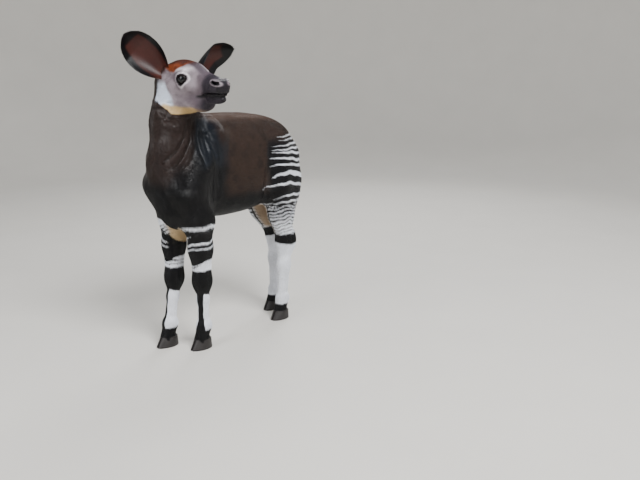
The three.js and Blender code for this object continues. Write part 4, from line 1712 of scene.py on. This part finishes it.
class Region(Enum):
    """Parts of the skin whose coat is made apart, with the tufts' sizes."""

    FACE = ("face", TuftSize(5.0, 0.9, 0.35, 0.5, 1.5))
    NECK = ("neck", TuftSize(11.0, 1.6, 0.5, 1.1, 2.3))
    SHOULDER = ("shoulder", TuftSize(12.0, 1.7, 0.5, 1.0, 2.5))
    BARREL = ("barrel", TuftSize(12.0, 1.7, 0.5, 1.0, 2.5))
    HAUNCH = ("haunch", TuftSize(11.0, 1.6, 0.5, 1.0, 2.2))
    FORE_LEGS = ("fore_legs", TuftSize(8.0, 1.2, 0.4, 0.7, 1.9))
    HIND_LEGS = ("hind_legs", TuftSize(8.0, 1.2, 0.4, 0.7, 1.9))

    @property
    def title(self) -> str:
        """The region's name in the piece's name."""
        return self.value[0]

    @property
    def size(self) -> TuftSize:
        """Its tufts."""
        return self.value[1]

    @staticmethod
    def of(p: np.ndarray, q: np.ndarray) -> np.ndarray:
        """Gives each point's place in the list of regions.

        Args:
            p: Points in body millimetres.
            q: The same points in the head's frame.

        Returns:
            One number a point.
        """
        x, z = p[:, 0], p[:, 2]
        order = list(Region)
        out = np.full(len(p), order.index(Region.BARREL))
        for region, mine in (
            (Region.SHOULDER, x > 90),
            (Region.HAUNCH, x < -90),
            (Region.NECK, (z > 790) & (x > 110)),
            (Region.FACE, (q[:, 0] > -80) & (z > 870)),
            (Region.FORE_LEGS, (z < 480) & (x > 0)),
            (Region.HIND_LEGS, (z < 500) & (x < -90)),
        ):
            out[mine] = order.index(region)
        return out


@dataclass
class Body:
    """The skin of head, neck, torso and legs, and the coat over it."""

    flesh: Flesh
    mesher: Mesher
    eye_bare: float = 25.5
    lip_bare: float = 4
    scatter_seed: int = 100
    tuft_seed: int = 200

    NODES = ("torso", "neck", "head", "leg_fore_left", "leg_fore_right", "leg_hind_left", "leg_hind_right")

    def __post_init__(self) -> None:
        """Works out the skin."""
        self.markings = Markings(self.flesh)
        self.points, self.triangles = Skin(self.flesh).build()
        self.normals = normals_of(self.points, self.triangles)

    def build(self) -> None:
        """Builds the skin and dresses it."""
        finish = HairCoat("sleek_calf_hide", ragged_mm=1.2, tuft=False).material()
        piece = self.mesher.make("calf_skin", self.points, self.triangles, finish, "body_coat")
        set_dress(piece, self.markings.at(self.points))
        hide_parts(*self.NODES)

    def cover(self) -> None:
        """Grows the coat, a piece a region, or more where a region has many tufts."""
        coat = Coat(self.mesher, HairCoat("calf_hair_tufts", ragged_mm=0.5, tuft=True).material())
        lie = Lie(self.flesh)
        middle = self.points[self.triangles].mean(1)
        q = self.flesh.to_head(middle)
        bare = self.bare(middle, q)
        region = Region.of(middle, q)
        for place, part in enumerate(Region):
            mine = self.triangles[(region == place) & ~bare]
            root, normal, _ = coat.scatter(self.points, self.normals, mine, part.size.spacing,
                                           self.scatter_seed + place)
            roots = Roots(root, normal, lie.at(root, normal), self.markings.at(root), self.chart(root))
            pieces = max(1, math.ceil(len(root) / coat.most))
            for n, rows in enumerate(np.array_split(np.arange(len(root)), pieces)):
                coat.tufts(f"coat_{part.title}_{n + 1}", roots.take(rows), part.size, "body_coat",
                           self.tuft_seed + 10 * place + n)

    @staticmethod
    def chart(root: np.ndarray) -> np.ndarray:
        """Unwraps roots round the region's own middle: turn across, length up.

        Args:
            root: Roots in body millimetres.

        Returns:
            Each root's place, from 0 to 1 each way.
        """
        middle = root.mean(0)
        axis = int(np.argmax(root.std(0)))
        a, b = [i for i in range(3) if i != axis]
        turn = (np.arctan2(root[:, b] - middle[b], root[:, a] - middle[a]) / (2 * math.pi) + 1) % 1
        low, high = root[:, axis].min(), root[:, axis].max()
        return np.stack([turn, (root[:, axis] - low) / (high - low)], 1)

    def bare(self, p: np.ndarray, q: np.ndarray) -> np.ndarray:
        """Says where no tuft grows: the eye's hollow, nose, lips and under the hooves' rim.

        Args:
            p: Points in body millimetres.
            q: The same points in the head's frame.

        Returns:
            True for each bare point.
        """
        eye = np.minimum(*[np.linalg.norm(q - EYE.centre(s), axis=1) for s in (1, -1)]) < self.eye_bare
        nose = (q[:, 0] > 164) & (q[:, 2] > -32)
        lips = (q[:, 0] > 92) & (np.abs(q[:, 2] - mouth_line(q[:, 0])) < self.lip_bare)
        return eye | nose | lips | (p[:, 2] < BUILD.coronet_z)


@dataclass
class Eye:
    """One eyeball."""

    side: int
    turns: int = 48
    rows: int = 32
    bulge: float = 0.7
    bulge_spread: float = 0.5
    iris_long: float = 0.86
    iris_high: float = 1.1
    behind: float = 1.2

    @property
    def name(self) -> str:
        """Left or right."""
        return "left" if self.side > 0 else "right"

    def build(self, flesh: Flesh, mesher: Mesher, finish: bpy.types.Material) -> None:
        """Builds the ball with its pupil turned out of the lids.

        Args:
            flesh: The flesh whose head holds the ball.
            mesher: The maker of meshes.
            finish: The wet eye's finish.
        """
        out, nose, up = axes = EYE.axes(self.side)
        points = []
        away = []
        for r in range(self.rows + 1):
            polar = math.pi * r / self.rows
            cornea = self.bulge * math.exp(-(polar / self.bulge_spread) ** 2)
            flat = math.sin(polar) * EYE.radius
            for t in range(self.turns):
                a = 2 * math.pi * t / self.turns
                forward = out * math.cos(polar) * (EYE.radius + cornea)
                sideways = (nose * math.cos(a) + up * math.sin(a)) * flat
                points.append(EYE.centre(self.side) + forward + sideways)
                wide = math.hypot(math.cos(a) * self.iris_long, math.sin(a) * self.iris_high)
                away.append(wide * math.sin(polar) if polar < math.pi / 2 else self.behind)
        faces = loft_faces(self.rows, self.turns)
        if np.linalg.det(axes) < 0:
            faces = faces[:, ::-1]
        piece = mesher.make(f"eyeball_{self.name}", flesh.on_head(np.array(points)), faces, finish, "eye")
        set_value(piece, "iris_mm", np.array(away))
        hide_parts(f"eye_{self.name}")


@dataclass(frozen=True)
class EarPose:
    """How one ear is held, in the head's frame."""

    node: str
    side: int
    root: Point
    tip: Point
    face: Point


@dataclass
class Ear:
    """One ear: a leaf-shaped cup, dark red inside with a black rim, and its short hair."""

    pose: EarPose
    flesh: Flesh
    half: float = 62.0
    thick: float = 6.5
    inset: float = 1.2
    curl_root: float = 1.9
    curl_tip: float = 0.75
    bow: float = 16
    tip_back: float = 10
    hair: TuftSize = TuftSize(7, 1.1, 0.35, 0.9, 2.0)
    rows: int = 44
    across: int = 28

    def __post_init__(self) -> None:
        """Works out the ear's own directions."""
        self.base = self.flesh.on_head(vec(self.pose.root))
        reach = self.flesh.on_head(vec(self.pose.tip)) - self.base
        self.length = float(np.linalg.norm(reach))
        self.along = reach / self.length
        face = unit(self.flesh.turn @ vec(self.pose.face))
        self.open = unit(face - self.along * (face @ self.along))
        self.out = np.cross(self.along, self.open)

    def half_width(self, t: float) -> float:
        """Measures half the ear's width.

        Args:
            t: Share of the way from root to tip.

        Returns:
            The half width in millimetres.
        """
        if t < 0.5:
            return self.half * (0.34 + 0.66 * math.sin(math.pi * t))
        return self.half * max(0.06, (1 - (2 * t - 1) ** 2.2) ** 0.62)

    def spot(self, t: float, u: float, inside: bool) -> np.ndarray:
        """A point of the cup.

        Args:
            t: Share of the way from root to tip.
            u: Share of the way across, from 0 to 1.
            inside: Whether it lies on the hollow face.

        Returns:
            The point in body millimetres.
        """
        curl = self.curl_root + (self.curl_tip - self.curl_root) * min(1, t * 1.6)
        radius = self.half_width(t) / math.sin(min(curl, math.pi / 2))
        edge = 1 - (2 * u - 1) ** 4
        thick = (self.thick - 2 * self.inset) * (1 - 0.45 * t * t) * (0.25 + 0.75 * edge)
        r = radius - self.inset - (thick if inside else 0)
        a = (u * 2 - 1) * curl * 0.985
        bow = self.bow * math.sin(math.pi * t) - self.tip_back * t * t
        return (self.base + self.along * t * self.length * 0.985 + self.out * math.sin(a) * r
                + self.open * (radius * 0.75 - math.cos(a) * r - bow))

    def build(self, mesher: Mesher, skin: bpy.types.Material, coat: Coat, seed: int) -> None:
        """Builds the ear's skin and its coat.

        Args:
            mesher: The maker of meshes.
            skin: The skin's finish.
            coat: The maker of tufts.
            seed: Seed of the coat's draws.
        """
        ring = [(u / self.across, True) for u in range(self.across + 1)]
        ring += [(u / self.across, False) for u in range(self.across, -1, -1)]
        size = len(ring)
        shares = [r / self.rows for r in range(self.rows + 1)]
        points = np.array([self.spot(t, u, inside) for t in shares for u, inside in ring])
        faces = loft_faces(self.rows, size)
        a, b, c = points[faces[0, :3]]
        if np.cross(b - a, c - a) @ (a - points[:size].mean(0)) < 0:
            faces = faces[:, ::-1]
        t = np.repeat(shares, size)
        u = np.tile([p[0] for p in ring], self.rows + 1)
        inner = np.tile([p[1] for p in ring], self.rows + 1)
        dress = self.dress(t, 1 - u if self.pose.side > 0 else u, inner)
        piece = mesher.make(self.pose.node + "_skin", points, faces, skin, "ear_coat")
        set_dress(piece, dress)
        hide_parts(self.pose.node)
        triangles = split(faces)
        normals = normals_of(points, triangles)
        root, normal, near = coat.scatter(points, normals, triangles, self.hair.spacing, seed)
        way = along_skin(np.tile(self.along, (len(root), 1)), normal)
        roots = Roots(root, normal, way, dress.take(near), np.stack([u[near], t[near]], 1))
        coat.tufts("coat_" + self.pose.node, roots, self.hair, "ear_coat", seed + 1)

    @staticmethod
    def dress(t: np.ndarray, rise: np.ndarray, inner: np.ndarray) -> Dress:
        """Black outside and rim, dark red-brown within, with painted shade deep in the hollow.

        Args:
            t: Share of the way from root to tip.
            rise: Share of the way from the lower edge to the upper.
            inner: Whether each point lies on the hollow face.

        Returns:
            The hair's colours.
        """
        dress = Dress.plain(len(t), Hue.BLACK)
        rim = np.minimum(np.minimum(rise - 0.14 - 0.08 * t, 0.87 - rise), (0.82 - t) * 1.6)
        dress.tint(Hue.EAR_INSIDE, np.where(inner, ease(-0.02, 0.06, rim), 0))
        # Painted shade: darker towards the root and the lower edge of the hollow.
        deep = ease(0.62, 0.2, t) * ease(0.7, 0.3, rise)
        dress.tint(Hue.EAR_HOLLOW_SHADE, np.where(inner, deep * ease(0, 0.1, rim) * 0.7, 0))
        dress.tint(Hue.EAR_BASE, np.where(inner, 0.3, 0.8) * ease(0.22, 0.05, t))
        return dress


@dataclass(frozen=True)
class Hoof:
    """One claw of a hoof: a D in plan that widens to a flat sole."""

    leg: LegName
    outer: bool
    length: float = 92.0
    width: float = 31.0
    apart: float = 2.4
    gap_above: float = 0.3
    worn: float = 0.06
    sides: int = 40
    rows: int = 12

    def build(self, mesher: Mesher, finish: bpy.types.Material) -> None:
        """Builds the claw.

        Args:
            mesher: The maker of meshes.
            finish: The horn's finish.
        """
        foot = BUILD.foot(self.leg)
        side = self.leg.side if self.outer else -self.leg.side
        points = []
        for r in range(self.rows + 1):
            t = r / self.rows
            edge = min(1, t / self.worn)
            length = self.length * (1 - 0.3 * t) * (0.97 + 0.03 * edge)
            width = self.width * (1 - 0.04 * t) * (0.95 + 0.05 * edge)
            heel = foot[0] - 0.4 * self.length * (1 - 0.12 * t)
            for i in range(self.sides):
                a = 2 * math.pi * i / self.sides
                along = (1 + math.cos(a)) / 2
                narrow = 1 - 0.42 * along ** 3
                across = math.sin(a) ** 0.75 * narrow if math.sin(a) > 1e-6 else 0
                points.append((heel + along * length, foot[1] + side * (self.apart + across * width),
                               t * (BUILD.coronet_z - self.gap_above)))
        faces = loft_faces(self.rows, self.sides)
        if side < 0:
            faces = faces[:, ::-1]
        node = f"hoof_{self.leg.node}_{'outer' if self.outer else 'inner'}"
        piece = mesher.make(node + "_horn", np.array(points), faces, finish, "horn")
        self.cap_ends(piece, side)
        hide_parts(node)

    def cap_ends(self, piece: bpy.types.Object, side: int) -> None:
        """Closes the first and last ring and keeps their edges sharp.

        Args:
            piece: The lofted claw.
            side: 1 where the claw bulges to the left, -1 to the right.
        """
        made = bmesh.new()
        made.from_mesh(piece.data)
        made.verts.ensure_lookup_table()
        for start, turn in ((0, side), (self.rows * self.sides, -side)):
            ring = [made.verts[start + i] for i in range(self.sides)]
            face = made.faces.new(ring[::-1] if turn > 0 else ring)
            face.smooth = False
        for edge in made.edges:
            if len(edge.link_faces) == 2 and edge.calc_face_angle(0) > 0.7:
                edge.smooth = False
        made.to_mesh(piece.data)
        made.free()


@dataclass(frozen=True)
class Tail:
    """The tail: a tapering core under short hair, with a tuft of long strands."""

    route: tuple[Point, ...] = (
        (-312, 0, 785), (-356, 0, 762), (-376, 2, 700), (-378, 4, 610), (-372, 5, 530),
    )
    root_radius: float = 19
    taper: float = 11.5
    rows: int = 44
    sides: int = 18
    hair: TuftSize = TuftSize(12, 1.5, 0.4, 1.4, 2.2)
    strand_count: int = 520
    strand_steps: int = 6
    strand_half: float = 1.5
    seed: int = 71

    def path(self, t: np.ndarray) -> np.ndarray:
        """Points along the tail's middle.

        Args:
            t: Shares of the way from root to end.

        Returns:
            The points in body millimetres.
        """
        keys = np.array(self.route, float)
        n = len(keys) - 1
        place = np.clip(t, 0, 1) * n
        i = np.minimum(place.astype(int), n - 1)
        s = (place - i)[:, None]
        before, after = keys[np.maximum(i - 1, 0)], keys[np.minimum(i + 2, n)]
        a, b = keys[i], keys[i + 1]
        slope_a, slope_b = (b - before) / 2, (after - a) / 2
        return ((2 * s ** 3 - 3 * s ** 2 + 1) * a + (s ** 3 - 2 * s ** 2 + s) * slope_a
                + (3 * s ** 2 - 2 * s ** 3) * b + (s ** 3 - s ** 2) * slope_b)

    def build(self, mesher: Mesher, skin: bpy.types.Material, coat: Coat) -> None:
        """Builds the core, its short hair and the strands.

        Args:
            mesher: The maker of meshes.
            skin: The skin's finish.
            coat: The maker of tufts.
        """
        t = np.repeat(np.linspace(0, 1, self.rows + 1), self.sides)
        a = np.tile(np.arange(self.sides) * 2 * math.pi / self.sides, self.rows + 1)
        tangent = unit(self.path(t + 0.01) - self.path(t - 0.01))
        across = np.tile(vec((0, 1, 0)), (len(t), 1))
        back = np.cross(tangent, across)
        radius = (self.root_radius - self.taper * np.minimum(1, t * 1.4)) * np.where(t >= 1, 0.2, 1)
        ring = across * np.cos(a)[:, None] + back * np.sin(a)[:, None]
        points = self.path(t) + ring * radius[:, None]
        faces = loft_faces(self.rows, self.sides)
        dress = Dress.plain(len(points), Hue.BLACK)
        dress.tint(Hue.FLANK, ease(0.35, 0.05, t))
        piece = mesher.make("tail_skin", points, faces, skin, "body_coat")
        set_dress(piece, dress)
        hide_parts("tail")
        triangles = split(faces)
        normals = normals_of(points, triangles)
        root, normal, near = coat.scatter(points, normals, triangles, self.hair.spacing, self.seed)
        chart = np.stack([a[near] / (2 * math.pi), t[near]], 1)
        roots = Roots(root, normal, along_skin(tangent[near], normal), dress.take(near), chart)
        coat.tufts("coat_tail", roots, self.hair, "body_coat", self.seed + 1)
        self.strands(mesher, coat)

    def strands(self, mesher: Mesher, coat: Coat) -> None:
        """Long bending strands round the end of the tail.

        Args:
            mesher: The maker of meshes.
            coat: The coat whose finish and chart the strands share.
        """
        draw = np.random.default_rng(self.seed + 2)
        steps = self.strand_steps
        points, faces, tones, chart = [], [], [], []
        for _ in range(self.strand_count):
            t = draw.uniform(0.6, 1.0)
            turn = draw.uniform(0, 2 * math.pi)
            root = self.path(np.array([t]))[0]
            out = vec((math.cos(turn), math.sin(turn), 0))
            side = vec((-out[1], out[0], 0))
            long = draw.uniform(65, 118)
            bow = draw.uniform(3, 13)
            lean = draw.normal(0, 5)
            start = len(points)
            for s in (k / steps for k in range(steps + 1)):
                half = self.strand_half * (1 - s) ** 0.6 + 0.12
                middle = (root + out * (5 + bow * math.sin(math.pi * s * 0.8)) + side * lean * s * s
                          + vec((4 * s, 0, -long * s)))
                points += [middle - side * half, middle + side * half, middle + out * half * 0.7]
                tones += [0.9 + 0.25 * s] * 3
                chart.append((turn / (2 * math.pi), t))
            for b in range(start, start + 3 * steps, 3):
                for i in range(3):
                    j = (i + 1) % 3
                    faces += [(b + i, b + j, b + 3 + j), (b + i, b + 3 + j, b + 3 + i)]
            end = start + 3 * steps
            faces += [(start, start + 2, start + 1), (end, end + 1, end + 2)]
        order = np.array(faces)
        piece = mesher.make("coat_tail_tuft", np.array(points), order, coat.material, "body_coat")
        set_dress(piece, Dress.plain(len(points), Hue.BLACK))
        set_value(piece, "tone", np.array(tones))
        coat.place_on_chart(piece, order, np.array(chart), ((0, 0), (1, 0), (0.5, 1)))


# The studio


@dataclass(frozen=True)
class Lamp:
    """One round soft light, with its place and size in metres and its power in watts."""

    name: str
    at: Point
    size: float
    power: float


@dataclass(frozen=True)
class Studio:
    """Plain pale floor that curves up all round, soft lights and the photograph's viewpoint.

    The camera's place is in body millimetres, and its angles are in degrees. The floor is in metres.
    """

    camera_at: Point = (1717, 1971, 1008)
    heading: float = -139.2
    pitch: float = 13.59
    focal_px: float = 659.4
    picture_px: float = 640
    sensor_mm: float = 36
    floor_flat: float = 4.6
    floor_bend: float = 2.4
    wall_top: float = 7.0
    floor_turns: int = 96
    bend_steps: int = 12
    lit_height: float = 0.6
    sky: str = "#dfe5ee"
    sky_strength: float = 0.6
    lamps: tuple[Lamp, ...] = (
        Lamp("key_light", (0.6, 3.0, 3.8), 2.2, 300),
        Lamp("fill_light", (3.8, -0.2, 2.4), 2.6, 90),
        Lamp("back_light", (-3.2, -1.6, 3.2), 2.0, 90),
    )

    def build(self, mesher: Mesher) -> None:
        """Makes the stage, the lights and the camera.

        Args:
            mesher: The maker of meshes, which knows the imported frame's place.
        """
        self.stage()
        self.lights()
        self.camera(mesher)

    def stage(self) -> None:
        """A round floor whose edge sweeps up into a wall."""
        flat, bend, turns = self.floor_flat, self.floor_bend, self.floor_turns
        profile = [(r, 0.0) for r in (1.5, 3.0, flat)]
        for k in range(1, self.bend_steps + 1):
            a = math.pi / 2 * k / self.bend_steps
            profile.append((flat + bend * math.sin(a), bend * (1 - math.cos(a))))
        profile.append((flat + bend, self.wall_top))
        made = bmesh.new()
        angles = [2 * math.pi * t / turns for t in range(turns)]
        rings = [[made.verts.new((r * math.cos(a), r * math.sin(a), z)) for a in angles] for r, z in profile]
        centre = made.verts.new((0, 0, 0))
        for t in range(turns):
            made.faces.new((centre, rings[0][t], rings[0][(t + 1) % turns]))
            for a, b in zip(rings, rings[1:]):
                made.faces.new((a[t], b[t], b[(t + 1) % turns], a[(t + 1) % turns]))
        mesh = bpy.data.meshes.new("studio_floor")
        made.to_mesh(mesh)
        made.free()
        mesh.polygons.foreach_set("use_smooth", [True] * len(mesh.polygons))
        mesh.materials.append(StudioFloor().material())
        floor = bpy.data.objects.new("studio_floor", mesh)
        bpy.context.scene.collection.objects.link(floor)

    @staticmethod
    def aimed(name: str, data: bpy.types.ID, place: Sequence[float], aim: Vector) -> bpy.types.Object:
        """Puts a light or camera in its place and turns it.

        Args:
            name: The object's name.
            data: The light or camera.
            place: Where it stands, in metres.
            aim: The direction that it looks in.

        Returns:
            The object.
        """
        holder = bpy.data.objects.new(name, data)
        holder.location = place
        holder.rotation_euler = aim.to_track_quat("-Z", "Y").to_euler()
        bpy.context.scene.collection.objects.link(holder)
        return holder

    def lights(self) -> None:
        """A wide soft key from the camera's left, a fill, a light from behind and light from the sky."""
        for lamp in self.lamps:
            light = bpy.data.lights.new(lamp.name, "AREA")
            light.shape = "DISK"
            light.size = lamp.size
            light.energy = lamp.power
            self.aimed(lamp.name, light, lamp.at, Vector((0, 0, self.lit_height)) - Vector(lamp.at))
        world = bpy.data.worlds.new("studio_sky")
        world.use_nodes = True
        sky = world.node_tree.nodes["Background"]
        sky.inputs["Color"].default_value = rgba(self.sky)
        sky.inputs["Strength"].default_value = self.sky_strength
        bpy.context.scene.world = world

    def camera(self, mesher: Mesher) -> None:
        """Sets the camera where the photograph was taken from.

        Args:
            mesher: The maker of meshes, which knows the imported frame's place.
        """
        lens = bpy.data.cameras.new("photo_camera")
        lens.sensor_width = self.sensor_mm
        lens.lens = self.focal_px / self.picture_px * lens.sensor_width
        lens.clip_end = 60
        turn = math.radians(self.heading)
        dip = math.radians(self.pitch)
        aim = Vector((math.cos(turn) * math.cos(dip), math.sin(turn) * math.cos(dip), -math.sin(dip)))
        place = mesher.world(vec(self.camera_at))
        bpy.context.scene.camera = self.aimed("photo_camera", lens, place, aim)


EARS = (
    EarPose("ear_left", 1, (-66, 58, 4), (-60, 236, 98), (0.8, 0.1, -0.45)),
    EarPose("ear_right", -1, (-71, -58, 18), (-94, -187, 157), (0.85, -0.35, -0.1)),
)
EAR_SEEDS = (50, 55)


def main() -> None:
    """Builds the calf, its coat and the studio, and reports each piece."""
    logging.basicConfig(level=logging.INFO, format="%(name)s %(message)s")
    flesh = Flesh()
    mesher = Mesher(flesh)
    body = Body(flesh, mesher)
    body.build()
    body.cover()
    hide = HairCoat("thin_ear_and_tail_hide", ragged_mm=1.2, tuft=False).material()
    coat = Coat(mesher, HairCoat("ear_and_tail_hair", ragged_mm=0.5, tuft=True).material())
    for pose, seed in zip(EARS, EAR_SEEDS):
        Ear(pose, flesh).build(mesher, hide, coat, seed)
    Tail().build(mesher, hide, coat)
    eye = WetEye().material()
    for side in (1, -1):
        Eye(side).build(flesh, mesher, eye)
    horn = HoofHorn().material()
    for leg in LegName:
        for outer in (True, False):
            Hoof(leg, outer).build(mesher, horn)
    Studio().build(mesher)


if __name__ == "__main__":
    main()
